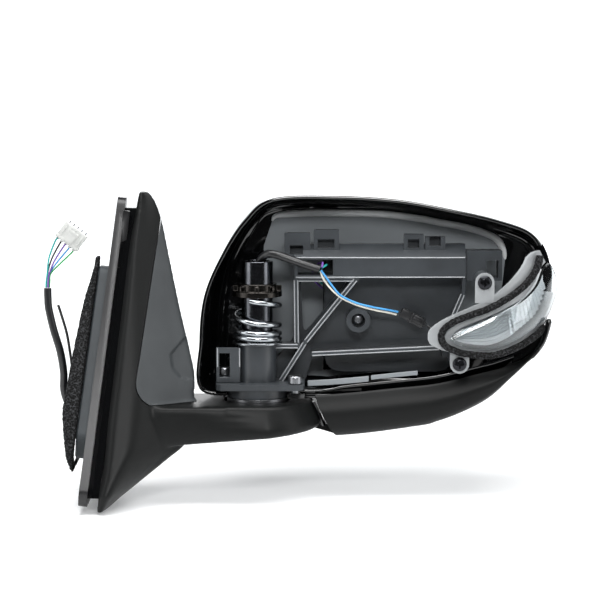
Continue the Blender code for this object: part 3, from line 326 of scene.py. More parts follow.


# the finishes, each named for what the real piece is made of and, where light is painted into the colour, for
# that too

def surface(name, dark, light, drift, rough, spread, grain, bump, metallic=0.0, coat=0.0, specular=0.5):
    # drift and grain are the sizes in mm of the colour's and the texture's patches, bump the relief in mm
    made = bpy.data.materials.new(name)
    made.use_nodes = True
    shader = made.node_tree.nodes["Principled BSDF"]
    where = addNode(made, "ShaderNodeTexCoord").outputs["Object"]
    patches = addNode(made, "ShaderNodeTexNoise", {"Scale": 1000 / drift, "Detail": 4.0}, {"Vector": where})
    colour = addNode(made, "ShaderNodeMixRGB", {"Color1": linear(dark), "Color2": linear(light)},
                     {"Fac": patches.outputs["Fac"]})
    fine = addNode(made, "ShaderNodeTexNoise", {"Scale": 1000 / grain, "Detail": 3.0}, {"Vector": where})
    roughness = addNode(made, "ShaderNodeMapRange", {"To Min": rough - spread, "To Max": rough + spread},
                        {"Value": fine.outputs["Fac"]})
    relief = addNode(made, "ShaderNodeBump", {"Strength": 1.0, "Distance": bump * mm},
                     {"Height": fine.outputs["Fac"]})
    join = made.node_tree.links.new
    join(colour.outputs["Color"], shader.inputs["Base Color"])
    join(roughness.outputs["Result"], shader.inputs["Roughness"])
    join(relief.outputs["Normal"], shader.inputs["Normal"])
    shader.inputs["Metallic"].default_value = metallic
    shader.inputs["Coat Weight"].default_value = coat
    shader.inputs["Coat Roughness"].default_value = 0.04
    if metallic < 0.5:
        shader.inputs["Specular IOR Level"].default_value = specular
    return made


# spark-eroded ABS: a fine even grain that spreads the lights into broad soft sheens
satinAbs = surface("Spark-eroded black ABS", "#0c0d0d", "#131414", 30, 0.42, 0.05, 0.5, 0.012, specular=0.16)
# coarser leather-free grain; its paler grey is painted sheen on the panel
grainyPanelSheen = surface("Grained grey ABS", "#2e3133", "#3c3f41", 22, 0.50, 0.06, 0.7, 0.035, specular=0.35)
# polished tool steel gives the shell a piano gloss with a faint orange peel
glossAbs = surface("High-gloss black ABS", "#050506", "#090a0b", 40, 0.09, 0.03, 3.5, 0.010, coat=0.35)
# glass fibres near the skin make flow marks and a hazy sheen
fibreNylon = surface("Glass-filled nylon", "#2a2d30", "#3d4145", 14, 0.34, 0.09, 1.1, 0.020)
# painted highlight: the radius along a moulded edge gets a pale grey that stands in for the lights it catches
nylonEdgeHighlight = surface("Glass-filled nylon edge", "#86898c", "#a4a7aa", 14, 0.28, 0.05, 1.1, 0.010)
# as-cast skin under a thin black powder coat
coatedAlloy = surface("Powder-coated die casting", "#0e0e0f", "#19191b", 8, 0.34, 0.08, 0.8, 0.030,
                      metallic=0.15)
# bright passivated zinc over steel: mirror-like with faint bluish cloud
brightZinc = surface("Zinc-plated steel", "#8f9498", "#b3b7ba", 6, 0.22, 0.07, 0.9, 0.010, metallic=1.0)
plainSteel = surface("Plain turned steel", "#84868a", "#a3a5a8", 5, 0.30, 0.08, 0.4, 0.010, metallic=1.0)
blackSteel = surface("Black-oxide steel", "#1c1d20", "#2a2b2f", 6, 0.22, 0.06, 0.6, 0.008, metallic=0.8)
# drawn tube under thin black chrome: dark, with long upright streaks of light
blackChrome = surface("Black-chromed steel tube", "#55575b", "#6b6d72", 6, 0.16, 0.04, 0.8, 0.006,
                      metallic=1.0)
# black passivated zinc keeps a brown-grey cast and a soft shine
darkZinc = surface("Black-passivated zinc", "#2f2d2b", "#4a4744", 6, 0.24, 0.07, 0.7, 0.010, metallic=1.0)
# the bulkhead is etched a little finer than the cover; its mid-grey colour is painted sheen, standing in for
# the light that falls on it
linerPaintedSheen = surface("Etched grey ABS", "#6f7477", "#878c90", 60, 0.34, 0.06, 0.6, 0.012)
# painted highlight: the pale grey of the bulkhead bead stands in for the light it reflects
paleBeadHighlight = surface("Polished grey ABS", "#d2d5d6", "#e4e6e7", 40, 0.22, 0.05, 1.0, 0.008)
turnedBrass = surface("Turned brass", "#b08c4a", "#cfae6c", 4, 0.28, 0.07, 0.4, 0.010, metallic=1.0)
matRubber = surface("TPE carrier", "#2b3033", "#383e42", 9, 0.60, 0.06, 0.6, 0.030)
naturalNylon = surface("Natural nylon", "#b3b5b3", "#c9cac7", 6, 0.38, 0.06, 0.8, 0.015)
plugPlastic = surface("Black PBT", "#131315", "#1e1f21", 5, 0.34, 0.07, 0.5, 0.015)
heaterFilm = surface("Polyester heater film", "#26282a", "#35383a", 6, 0.45, 0.05, 0.8, 0.005)
solderMask = surface("Green solder mask", "#1c5a38", "#2b7048", 4, 0.30, 0.06, 0.7, 0.010)
sheathPvc = surface("Soft black PVC sheath", "#101011", "#1b1c1e", 5, 0.32, 0.07, 0.7, 0.020)
lampPale = surface("Pale grey PBT", "#8d9092", "#a8abad", 12, 0.22, 0.05, 1.4, 0.010)
# vacuum-deposited aluminium over a lacquer: nearly a mirror
metallised = surface("Metallised reflector", "#e4e6e8", "#f6f7f8", 10, 0.18, 0.04, 2.0, 0.004, metallic=0.3)
wires = {
    "wire_blue": surface("Blue wire PVC", "#2f84c8", "#56a9e2", 4, 0.34, 0.05, 0.5, 0.010),
    "wire_white": surface("Cream wire PVC", "#d8d3c4", "#ece8dc", 4, 0.36, 0.05, 0.5, 0.010),
    "wire_teal": surface("Teal wire PVC", "#1c8d88", "#33aca6", 4, 0.34, 0.05, 0.5, 0.010),
    "wire_purple": surface("Purple wire PVC", "#5b3a8c", "#7a56aa", 4, 0.34, 0.05, 0.5, 0.010),
    "wire_green": surface("Green wire PVC", "#2c8a4b", "#44a864", 4, 0.34, 0.05, 0.5, 0.010),
    "wire_black": surface("Black wire PVC", "#111112", "#1d1d1f", 4, 0.30, 0.05, 0.5, 0.010),
}


def silveredGlass():
    # float glass with silver behind it: the eye sees only reflection, faintly green-blue
    made = surface("Silvered float glass", "#dde3e4", "#e6ebec", 60, 0.02, 0.005, 30, 0.001, metallic=1.0)
    return made


def clearPolycarbonate():
    made = bpy.data.materials.new("Clear polycarbonate")
    made.use_nodes = True
    shader = made.node_tree.nodes["Principled BSDF"]
    where = addNode(made, "ShaderNodeTexCoord").outputs["Object"]
    ripple = addNode(made, "ShaderNodeTexNoise", {"Scale": 180.0, "Detail": 2.0}, {"Vector": where})
    haze = addNode(made, "ShaderNodeMapRange", {"To Min": 0.0, "To Max": 0.05},
                   {"Value": ripple.outputs["Fac"]})
    relief = addNode(made, "ShaderNodeBump", {"Strength": 0.3, "Distance": 0.00002},
                     {"Height": ripple.outputs["Fac"]})
    made.node_tree.links.new(haze.outputs["Result"], shader.inputs["Roughness"])
    made.node_tree.links.new(relief.outputs["Normal"], shader.inputs["Normal"])
    shader.inputs["Base Color"].default_value = linear("#e9eef0")
    shader.inputs["Transmission Weight"].default_value = 1.0
    shader.inputs["IOR"].default_value = 1.585
    return made


def openCellFoam():
    # cut polyether foam: black cells about 0.7 mm wide, drawn 1.2 mm so that they show; the grey on the strand
    # tips is painted glint
    made = bpy.data.materials.new("Open-cell polyether foam")
    made.use_nodes = True
    shader = made.node_tree.nodes["Principled BSDF"]
    where = addNode(made, "ShaderNodeTexCoord").outputs["Object"]
    cells = addNode(made, "ShaderNodeTexVoronoi", {"Scale": 850.0}, {"Vector": where})
    flecks = addNode(made, "ShaderNodeTexNoise", {"Scale": 1400.0, "Detail": 4.0}, {"Vector": where})
    tips = addNode(made, "ShaderNodeMath", {}, {0: cells.outputs["Distance"], 1: flecks.outputs["Fac"]},
                   operation="MULTIPLY")
    ramp = addNode(made, "ShaderNodeValToRGB", {}, {"Fac": tips.outputs["Value"]})
    ramp.color_ramp.elements[0].position = 0.22
    ramp.color_ramp.elements[0].color = linear("#030303")
    ramp.color_ramp.elements[1].position = 0.50
    ramp.color_ramp.elements[1].color = linear("#3a3b3d")
    relief = addNode(made, "ShaderNodeBump", {"Strength": 1.0, "Distance": 0.0006},
                     {"Height": tips.outputs["Value"]})
    join = made.node_tree.links.new
    join(ramp.outputs["Color"], shader.inputs["Base Color"])
    join(relief.outputs["Normal"], shader.inputs["Normal"])
    shader.inputs["Roughness"].default_value = 0.85
    shader.inputs["Specular IOR Level"].default_value = 0.2
    return made


mirrorGlass = silveredGlass()
clearLens = clearPolycarbonate()
blackFoam = openCellFoam()
print("finishes ready")


# the camera comes first, then the cords

cameraLook = {"target": (131.0, 0.0, 32.75), "distance": 1500.0, "elevation": 6.3, "lens": 137.4}


def placeCamera(look):
    lens = bpy.data.cameras.new("Camera")
    lens.lens = look["lens"]
    lens.sensor_width = 36.0
    lens.clip_end = 20.0
    camera = bpy.data.objects.new("Camera", lens)
    bpy.context.scene.collection.objects.link(camera)
    lift = math.radians(look["elevation"])
    away = Vector((0, -math.cos(lift), math.sin(lift))) * look["distance"]
    camera.location = (Vector(look["target"]) + away) * mm
    camera.rotation_euler = (math.pi / 2 - lift, 0, 0)
    bpy.context.scene.camera = camera


placeCamera(cameraLook)

cordLook = {
    "head_sheath": {"diameter": 5.3, "finish": sheathPvc, "stiffness": "medium"},
    "lamp_wire_blue": {"diameter": 1.3, "finish": wires["wire_blue"], "stiffness": "limp"},
    "lamp_wire_white": {"diameter": 1.3, "finish": wires["wire_white"], "stiffness": "limp"},
    "drive_wire_teal": {"diameter": 1.3, "finish": wires["wire_teal"], "stiffness": "limp"},
    "drive_wire_purple": {"diameter": 1.3, "finish": wires["wire_purple"], "stiffness": "limp"},
    "lamp_tail": {"diameter": 1.8, "finish": wires["wire_black"], "stiffness": "limp"},
    "door_cable": {"diameter": 5.0, "finish": sheathPvc, "stiffness": "medium"},
    "door_lead": {"diameter": 1.8, "finish": wires["wire_black"], "stiffness": "limp"},
}
routes = {
    "head_sheath": [(103, 0, -38), (103, 0, -10), (103, 0, 20), (103, 0, 48), (104.2, -1.5, 57.5),
                    (108.6, -4.5, 62.9), (114.5, -7.2, 63.4), (124.9, -8.6, 60.1), (134.9, -9.0, 56.6),
                    (143.6, -9.0, 53.8)],
    "lamp_wire_blue": [(144.6, -9.9, 53.2), (148, -9.5, 48.6), (152.4, -8.0, 42.4), (157.6, -6.5, 36.4),
                       (167.5, -6.0, 31.6), (178.4, -4.5, 28.6), (188, -2.4, 26.6), (195.2, 1.4, 24.8)],
    "lamp_wire_white": [(144.3, -8.0, 52.5), (146.2, -8.1, 47.6), (151.6, -7.4, 40.4), (158.6, -5.2, 34.4),
                        (168.5, -4.8, 29.9), (179.4, -3.2, 26.6), (188.6, -1.0, 24.6), (194.2, 1.6, 23.0)],
    "drive_wire_teal": [(145.0, -7.9, 54.6), (147.6, -5.4, 55.8), (148.4, 0.4, 56.0), (147.2, 8.0, 54.8),
                        (144.4, 16.5, 51.5), (142.6, 20.0, 46.0), (145.9, 21.5, 41.0)],
    "drive_wire_purple": [(145.2, -10.1, 55.3), (145.8, -6.6, 57.6), (145.4, 0.0, 57.4), (144.0, 8.0, 56.4),
                          (140.6, 17.0, 53.0), (139.6, 21.0, 45.0), (145.9, 23.5, 38.0)],
    "lamp_tail": [(214.9, 3.4, 15.2), (218.5, 1.0, 12.4), (221.0, -5.4, 9.0), (225.4, -10.6, 7.6),
                  (232.0, -11.8, 9.0), (236.6, -12.6, 11.0), (237.8, -15.4, 11.9)],
    "door_cable": [(40, -2, -45.8), (22, -2, -45.8), (6, -2, -45.4), (-8, -2, -44.2), (-19, -3, -38.5),
                   (-23.6, -5, -27), (-23.6, -7, -14), (-25.6, -8, 0), (-29.6, -8, 13.8), (-32.7, -8, 27.8),
                   (-33.2, -8, 35.0), (-33.3, -8, 41.5)],
    "door_lead": [(-26.9, -5.0, 30.0), (-24.6, -3.6, 22), (-21.6, -2.0, 10.0), (-19.6, -1.0, -4.0),
                  (-18.2, 1.0, -16), (-15.4, 2.0, -26), (-11.6, 3.0, -34)],
}
connector = {"centre": Vector((-17.2, -8.0, 75.4)), "lean": math.radians(38), "size": (17.0, 8.0, 12.0),
             "pitch": 3.2}
doorWires = [("green", 4, 0.0), ("blue", 3, 1.4), ("black", 1, 1.4), ("teal", 0, -1.4), ("purple", 2, -1.4)]


def doorWireRoute(number):
    angle = 2 * math.pi * number / len(doorWires)
    dx, dy = 1.2 * math.cos(angle), 1.2 * math.sin(angle)
    across = Vector((math.cos(connector["lean"]), 0, -math.sin(connector["lean"])))
    along = Vector((math.sin(connector["lean"]), 0, math.cos(connector["lean"])))
    contact, row = doorWires[number][1:]
    slot = connector["centre"] - along * (connector["size"][2] / 2 + 0.35)
    slot = slot + across * (contact - 2) * connector["pitch"] + Vector((0, row, 0))
    start = Vector(routes["door_cable"][-1]) + Vector((dx, dy, 0.35))
    spread = (slot - along * 8) * 0.55 + (start + Vector((1.0, 0, 11.0))) * 0.45
    return [start, start + Vector((0.2, 0, 4)), start + Vector((0.9, 0, 9)), spread, slot - along * 3.0, slot]


def makeCord(name, route, diameter, finish):
    line = evenLine([Vector(p) for p in route], 60)
    curve = bpy.data.curves.new(name + "_cord", "CURVE")
    curve.dimensions = "3D"
    curve.bevel_depth = diameter * mm / 2
    curve.bevel_resolution = 4
    curve.use_fill_caps = True
    spline = curve.splines.new("POLY")
    spline.points.add(len(line) - 1)
    spline.use_smooth = True
    for point, place in zip(spline.points, line):
        point.co = (*(place * mm), 1)
    cord = bpy.data.objects.new(name + "_cord", curve)
    bpy.context.scene.collection.objects.link(cord)
    curve.materials.append(finish)
    stands(cord, name)
    return cord


def makeDoorConnector(look):
    # a ribbed nylon shell with a latch and five cavities; natural nylon is milky and soft-edged
    sx, sy, sz = (s / 2 for s in look["size"])
    place = Matrix.Translation(look["centre"] * mm) @ Matrix.Rotation(look["lean"], 4, "Y")
    parts = [block("shell", (-sx, -sy + 0.9, -sz), (sx, sy, sz), None, 0.5, place),
             block("latch", (-3.0, -sy, -sz + 1.5), (3.0, -sy + 1.4, sz - 2.5), None, 0.35, place),
             block("latch_tip", (-3.6, -sy - 0.3, sz - 4.2), (3.6, -sy + 1.4, sz - 2.4), None, 0.3, place),
             block("collar", (-sx - 0.5, -sy + 0.5, -sz + 0.2), (sx + 0.5, sy + 0.4, -sz + 2.4), None, 0.4,
                   place)]
    for k in range(5):
        x = (k - 2) * look["pitch"]
        parts.append(block("rib", (x - 0.45, -sy + 0.4, -sz + 2.0), (x + 0.45, -sy + 1.6, sz - 0.8), None,
                           0.2, place))
        parts.append(block("port", (x - 1.1, -1.1, -sz - 1.0), (x + 1.1, 2.4, -sz + 0.6), None, 0.25, place))
    shell = joined("door_connector_shell", parts, naturalNylon)
    stands(shell, "door_connector")
    pins = [block("pin", ((k - 2) * look["pitch"] - 0.35, -0.3, sz - 1.0),
                  ((k - 2) * look["pitch"] + 0.35, 0.5, sz + 1.6), None, 0.12, place) for k in range(5)]
    contacts = joined("door_connector_contacts", pins, brightZinc)
    rides(contacts, bodyOf("door_connector"))
    return shell, contacts


plugLook = {"centre": (205.4, 3.2, 20.2), "lean": 28.0, "low": (-9.2, -2.4, -3.2), "high": (9.2, 4.2, 3.2)}


def makeLampPlug(look):
    # two-way sealed plug: a ribbed collar, a latch and a parting line
    place = Matrix.Translation(Vector(look["centre"]) * mm) @ \
        Matrix.Rotation(math.radians(look["lean"]), 4, "Y")
    (x0, y0, z0), (x1, y1, z1) = look["low"], look["high"]
    parts = [block("half_a", (x0, y0 + 0.5, z0 + 0.2), (-1.2, y1, z1 - 0.2), None, 0.5, place),
             block("half_b", (-0.8, y0, z0), (x1 - 1.4, y1, z1), None, 0.6, place),
             block("collar", (-2.2, y0 - 0.2, z0 - 0.3), (-0.2, y1, z1 + 0.3), None, 0.3, place),
             block("latch", (-0.4, y0 - 0.9, -1.3), (5.6, y0 + 0.4, 1.3), None, 0.3, place),
             block("boot", (x1 - 2.0, y0 + 1.6, -1.6), (x1, y1 - 1.4, 1.6), None, 0.4, place)]
    for k in range(3):
        parts.append(block("grip", (1.2 + 1.7 * k, y0 + 0.3, z1 - 0.2), (1.9 + 1.7 * k, y1 - 0.6, z1 + 0.4),
                           None, 0.15, place))
    plug = joined("lamp_plug_shell", parts, plugPlastic)
    return stands(plug, "lamp_plug")


doorShell, doorContacts = makeDoorConnector(connector)
makeLampPlug(plugLook)
for name in routes:
    look = cordLook[name]
    makeCord(name, routes[name], look["diameter"], look["finish"])
for number, (colour, _, _) in enumerate(doorWires):
    makeCord("door_wire_" + colour, doorWireRoute(number), 1.1, wires["wire_" + colour])
print("cords laid")


# the door base carries the sail cover, its paler panel and the foot

baseLook = {"tilt": math.radians(6.3), "top": 103.0, "bottom": -98.0, "standoff": 10.0, "wall": 2.5,
            "footTop": -32.7, "footRadius": 35.5, "flare": 9.3, "footBottom": -53.8, "footSlope": 0.09,
            "pivot": 103.0, "seam": 0.45, "cell": 1.1}
sailEdge = [(-98, 6.0), (-94, 11.6), (-84.4, 24.6), (-68.6, 45.0), (-58, 57.0), (-40, 61.5), (-17.5, 61.8),
            (0, 58.5), (31.4, 51.0), (65.2, 43.8), (84, 39.6), (96, 35.0), (102.5, 29.5)]
sailEdgeFine = [tuple(p) for p in smoothLine([Vector(p) for p in sailEdge], 8)]


def sailRing(z, inset=0.0, openSide=0.0):
    left = z * math.tan(baseLook["tilt"]) + baseLook["standoff"]
    right = blendValue(sailEdgeFine, z) - inset
    front = -64.0 + 0.424 * (z + 86.0) if z > -86 else -64.0 + (-86.0 - z) * 0.35
    front += inset
    rear = 35.5 - max(0.0, z - 40.0) * 0.09 - max(0.0, -80.0 - z) * 0.3 - inset
    wide = max(right - left, 1.0)
    ridge = front + (rear - front) * 0.40
    full = blendValue([(-34.0, 0.66), (-22.0, 0.50)], z)
    lean = 0.0 if openSide else blendValue([(-97, 2.6), (-40, 0.4), (20, 0.0), (70, 1.2), (102, 3.6)], z)
    left += lean
    turnIn = 0.0 if inset else min(5.0, wide * 0.12)
    path = [(left - openSide, front + turnIn), (left + min(5.2, 0.13 * wide), front + 0.1),
            (left + 0.18 * wide, front - 0.4), (left + 0.40 * wide, front + 2.5),
            (left + 0.80 * wide, front + (ridge - front) * 0.62), (right, ridge),
            (left + full * wide, ridge + 0.51 * (rear - ridge)), (left + full * wide / 3, rear - 1.5),
            (left - openSide, rear)]
    return [(p[0], p[1], z) for p in evenLine([Vector(p) for p in path], 80)]


def footBottom(x):
    return baseLook["footBottom"] + baseLook["footSlope"] * (x - baseLook["pivot"])


def footRing(share, shrink=0.0, inset=0.0):
    look = baseLook
    radius = look["footRadius"] + look["flare"] * share - shrink - inset
    grow = inset + shrink * 0.6
    start = 38.0 - grow * 2
    angles = [math.radians(-80 + 160 * k / 48) for k in range(49)]
    end = [(look["pivot"] + radius * math.cos(a), radius * math.sin(a)) for a in angles]
    plan = [(start, grow - 37.0), (50.0, grow - 37.0), (60.0, grow - 37.0)] + end
    plan += [(60.0, 29.0 - grow), (50.0, 28.6 - grow), (start, 28.0 - grow)]
    top = look["footTop"] - inset
    return [(x, y, top + (footBottom(x) + inset - top) * share) for x, y in plan]


footLevels = [(0.0, 1.6), (0.015, 0.75), (0.05, 0.1), (0.09, 0.0), (0.3, 0.0), (0.5, 0.0), (0.66, 0.25),
              (0.78, 0.8), (0.88, 1.9), (0.95, 3.6), (1.0, 6.5)]


def coverSolid(name, inset=0.0, openSide=0.0, cell=None):
    low, high = baseLook["bottom"] + 1 + inset, baseLook["top"] - 0.5 - inset
    count = 110
    sail = loft(name, [sailRing(low + (high - low) * k / count, inset, openSide) for k in range(count + 1)])
    foot = loft(name + "_foot", [footRing(s, r, inset) for s, r in footLevels])
    solid = boolean(sail, foot, "UNION")
    step = solid.modifiers.new("Even mesh", "REMESH")
    step.mode = "VOXEL"
    step.voxel_size = (cell or baseLook["cell"]) * mm
    keepMesh(solid)
    return solid


def easeJunction(solid, look, rounds=26):
    # the panel flows into the foot in a fillet; elsewhere only the remesh steps are smoothed away
    work = bmesh.new()
    work.from_mesh(solid.data)
    near = []
    for vert in work.verts:
        x, y, z = (vert.co / mm)
        away = abs(z - look["footTop"])
        if 30 < x < 84 and away < 9:
            near.append(vert)
    for k in range(5):
        bmesh.ops.smooth_vert(work, verts=work.verts, factor=0.5, use_axis_x=True, use_axis_y=True,
                              use_axis_z=True)
    for k in range(rounds):
        bmesh.ops.smooth_vert(work, verts=near, factor=0.5, use_axis_x=True, use_axis_y=True, use_axis_z=True)
    # shallow dish that clears the turning head
    dish = [(-19.5, 66.0), (-17.7, 59.0), (-16.4, 52.4), (-9.8, 47.2), (-1.3, 45.9), (8.5, 55.0),
            (11.0, 62.0)]
    for vert in work.verts:
        x, y, z = vert.co / mm
        if -19.5 < z < 11 and y < 0 and x > 42:
            share = (x - blendValue(dish, z)) / 1.6
            share = max(0.0, min(1.0, share))
            vert.co.y += 2.0 * mm * share * share * (3 - 2 * share)
    work.to_mesh(solid.data)
    work.free()
    return solid


def prism(name, outline, near, far):
    # outline in X and Z, from y near to y far
    return loft(name, [[(x, near, z) for x, z in outline], [(x, far, z) for x, z in outline]])


def seamRegion(name, extra):
    line = smoothLine([Vector(p) for p in [(43.5, 125), (41.5, 110), (38.9, 84), (34.7, 54), (27.6, 0),
                                           (25.3, -18.3), (28.4, -27.0), (34, -32.0)]], 6)
    outline = [(p[0] + extra, p[1] + (extra if p[1] < 0 else 0)) for p in line]
    outline += [(50, -32.2 + extra), (95, -32.2 + extra), (95, 125)]
    return prism(name, outline, -130, 130)


def makeCover(look):
    cell = look["cell"] * 1.0
    outer = easeJunction(coverSolid("cover_outer", 0.0, 0.0, cell), look)
    inner = coverSolid("cover_inner", look["wall"], 14.0, cell)
    boolean(outer, inner)
    pivotHole = drum("pivot_hole", (look["pivot"], 0, look["footTop"] - 12),
                     (look["pivot"], 0, look["footTop"] + 8), 22.2, sides=96)
    boolean(outer, pivotHole)
    middle = Matrix.Translation((88 * mm, 0,
                                 footBottom(88) * mm)) @ \
        Matrix.Rotation(-math.atan(look["footSlope"]), 4, "Y")
    room = rounded([(-24, -18), (30, -18), (30, 18), (-24, 18)], 9)
    tool = loft("under_room", [[(x, y, -7) for x, y in room], [(x, y, 7) for x, y in room]])
    tool.data.transform(middle)
    boolean(outer, tool)
    panel = newPiece("sail_panel_skin", outer.data.copy(), None)
    outer.name = "foot_cover_skin"
    boolean(panel, seamRegion("panel_region", look["seam"]), "INTERSECT")
    boolean(outer, seamRegion("panel_room", 0.0))
    # the panel's paler grey is painted sheen
    for piece, node, finish in ((outer, "foot_cover", satinAbs), (panel, "sail_panel", grainyPanelSheen)):
        piece.data.materials.clear()
        piece.data.materials.append(finish)
        shade(piece, 40)
        stands(piece, node)
    return outer, panel


footCover, sailPanel = makeCover(baseLook)
print("cover made")


# the door seal is a carrier frame with a foam ring

sealLook = {"depth": 7.0, "gap": 0.35, "foam": 8.5, "cell": 0.9}
tiltPlace = Matrix.Rotation(baseLook["tilt"], 4, "Y")


def makeCarrier(look):
    outline = rounded([(8, 54), (20, 54), (24, -40), (20, -66), (-34, -68), (-42, -52)], 9)
    hole = rounded([(9, 40), (14, 40), (17, -34), (13, -56), (-26, -58), (-32, -48)], 6)
    g, d = look["gap"], look["depth"]
    rings = []
    for loop, x, off in ((outline, g, 0.6), (outline, g - 0.8, 0.0), (outline, -d + 0.9, 0.0),
                         (outline, -d, 1.0), (hole, -d, -0.8), (hole, -d + 0.8, 0.0), (hole, g - 0.6, 0.0),
                         (hole, g, -0.5)):
        moved = inward([Vector(p) for p in loop], off)
        rings.append([(x, p[0], p[1]) for p in moved])
    count = len(outline)
    if len(hole) != count:
        raise ValueError("carrier outlines differ")
    ring = loft("gasket_carrier_ring", rings, matRubber, True)
    ring.data.transform(tiltPlace)
    return stands(ring, "gasket_carrier")


def makeFoam(look):
    outer = smoothLoop([Vector(p) for p in [(10, 56), (21, 50), (25, 0), (25, -45), (20, -72), (-10, -78),
                                            (-38, -74), (-45, -52), (-20, 5)]], 24)
    rings = []
    section = [(0.02, 0.0), (0.35, 0.0), (0.7, 0.0), (1.0, 0.02), (1.04, 0.35), (1.03, 0.7), (0.95, 0.9),
               (0.82, 1.0), (0.5, 1.03), (0.22, 1.0), (0.06, 0.88), (0.0, 0.6), (0.0, 0.3)]
    for share, depth in section:
        loop = []
        for point in outer:
            middle = Vector((0.0 if point[1] < -30 else 8.0, max(-52.0, min(38.0, point[1]))))
            inner = (middle - point).normalized() * 9.0 * (1 - share)
            bulge = look["foam"] * blendValue([(-78, 0.10), (-66, 0.55), (-38, 1.2), (0, 1.0), (30, 0.75),
                                               (56, 0.35)],
                                              point[1])
            loop.append((-look["depth"] - look["gap"] - bulge * depth, point[0] + inner[0],
                         point[1] + inner[1]))
        rings.append(loop)
    foam = loft("door_foam", rings, None, True)
    step = foam.modifiers.new("Even mesh", "REMESH")
    step.mode = "VOXEL"
    step.voxel_size = look["cell"] * 1.0 * mm
    keepMesh(foam)
    roughen(foam, 1.7, 0.45)
    foam.data.transform(tiltPlace)
    foam.data.materials.clear()
    foam.data.materials.append(blackFoam)
    shade(foam, 180)
    stands(foam, "foam_gasket")
    return foam


def roughen(piece, size, depth):
    # torn cells: points move along their normals by a fine seeded noise
    mesh = piece.data
    normals = [vert.normal.copy() for vert in mesh.vertices]
    for vert, normal in zip(mesh.vertices, normals):
        swing = noise.noise(vert.co / (size * mm)) + 0.5 * noise.noise(vert.co / (size * 0.45 * mm))
        vert.co = vert.co + normal * swing * depth * mm
    return piece


makeCarrier(sealLook)
foam = makeFoam(sealLook)
print("door seal made")


# the pivot holds the casting, the post, the spring and its keeper

springLook = {"pivot": 103.0, "radius": 14.5, "wire": 3.6, "low": 7.55, "high": 33.3, "turns": 3.3}


def makeSpring(look):
    turns = [0.0, 0.75, 1.25, 1.75, 2.25, 2.75, 3.3]
    rise = [0.0, 0.10, 0.17, 0.28, 0.42, 0.72, 1.0]
    count = 240
    path = []
    for k in range(count + 1):
        turn = look["turns"] * k / count
        z = look["low"] + (look["high"] - look["low"]) * blendValue(list(zip(turns, rise)), turn)
        angle = -2 * math.pi * turn
        path.append(Vector((look["pivot"] + look["radius"] * math.cos(angle),
                            look["radius"] * math.sin(angle), z)))
    rings = []
    for k, point in enumerate(path):
        along = (path[min(count, k + 1)] - path[max(0, k - 1)]).normalized()
        out = Vector((point[0] - look["pivot"], point[1], 0)).normalized()
        up = along.cross(out).normalized()
        side = up.cross(along)
        r = look["wire"] / 2 * (0.9 if k in (0, count) else 1.0)
        rings.append([tuple(point + side * r * math.cos(a) + up * r * math.sin(a))
                      for a in [2 * math.pi * j / 20 for j in range(20)]])
    coil = loft("fold_spring_coil", rings, brightZinc, False, 60)
    return stands(coil, "fold_spring")


makeSpring(springLook)
for name, finish, width in (("base_casting", coatedAlloy, 0.5), ("pivot_post", blackChrome, 0.3),
                            ("detent_ring", plainSteel, 0.25), ("spring_washer", brightZinc, 0.25),
                            ("spring_retainer", darkZinc, 0.3), ("threaded_insert_1", turnedBrass, 0.2),
                            ("threaded_insert_2", turnedBrass, 0.2), ("threaded_insert_3", turnedBrass, 0.2),
                            ("foot_under_cover", satinAbs, 0.4), ("under_screw_inner", blackSteel, 0.2),
                            ("under_screw_outer", blackSteel, 0.2)):
    refined(name, finish, width)
print("pivot made")


# the head shell is one thin gloss moulding

headLook = {"pivot": 103.0, "floor": -28.0, "wall": 2.5, "rim": -6.0, "mid": 26.0, "bezel": 60.0,
            "bulkhead": 30.5, "coverWall": 2.4, "fillet": 9.0, "each": 10}
rimLine = [(73, -29.9), (142.6, -28.8), (196.5, -23.9), (221.6, -21), (246.6, -15), (267.5, -9.2),
           (280, -2.6), (289, 6.5)]
bellyLine = [(73, -56.5), (152.6, -56.5), (207.4, -50.2), (221.6, -46.8), (238, -40.6), (255, -31.2),
             (269, -18.0), (280, -6.6), (289, 4.0)]
rimCurve = [tuple(p) for p in smoothLine([Vector(p) for p in rimLine], 10)]
bellyCurve = [tuple(p) for p in smoothLine([Vector(p) for p in bellyLine], 10)]


def lowerZ(x, share):
    return blendValue(rimCurve, x) * (1 - share) + blendValue(bellyCurve, x) * share


def headOutline(y):
    look = headLook
    share, extra = {look["rim"]: (0.0, 0.5), look["mid"]: (0.96, 2.4), look["bezel"]: (0.88, 2.6)}[y]
    below = [(x, lowerZ(x, share) + look["coverWall"] + extra) for x in (278, 262, 246, 222, 196, 162)]
    floor = look["floor"]
    if y == look["rim"]:
        upper = [(66.5, -27), (64.8, 5.9), (68, 35.4), (79, 61.5), (94.5, 85.5), (113.5, 100), (156.5, 101.5),
                 (196.5, 98.9), (232, 92.2), (260, 85.5), (281, 77.5), (290.5, 63), (292.5, 38), (289.5, 14)]
        corner = [(145, floor + 0.3), (108, floor)]
    elif y == look["mid"]:
        upper = [(73, floor), (72, 6), (74, 36), (81, 62), (95, 86), (113, 98.5), (156, 100.3), (196, 97.8),
                 (232, 91), (260, 84.5), (283, 76), (295, 62), (299, 38), (294, 14)]
        corner = [(149, floor - 2.5), (112, floor)]
    else:
        upper = [(79, floor), (77, 6), (79, 36), (86, 62), (98, 84), (115, 96), (156, 98), (196, 96),
                 (232, 89.5), (260, 83), (283, 74.5), (295.5, 60), (299.5, 36), (295, 12)]
        corner = [(142, floor - 6.5), (108, floor - 0.5)]
    points = [Vector(p) for p in upper + below + corner]
    return smoothLoop(points, look["each"])


rimLoop, midLoop, bezelLoop = (headOutline(headLook[k]) for k in ("rim", "mid", "bezel"))


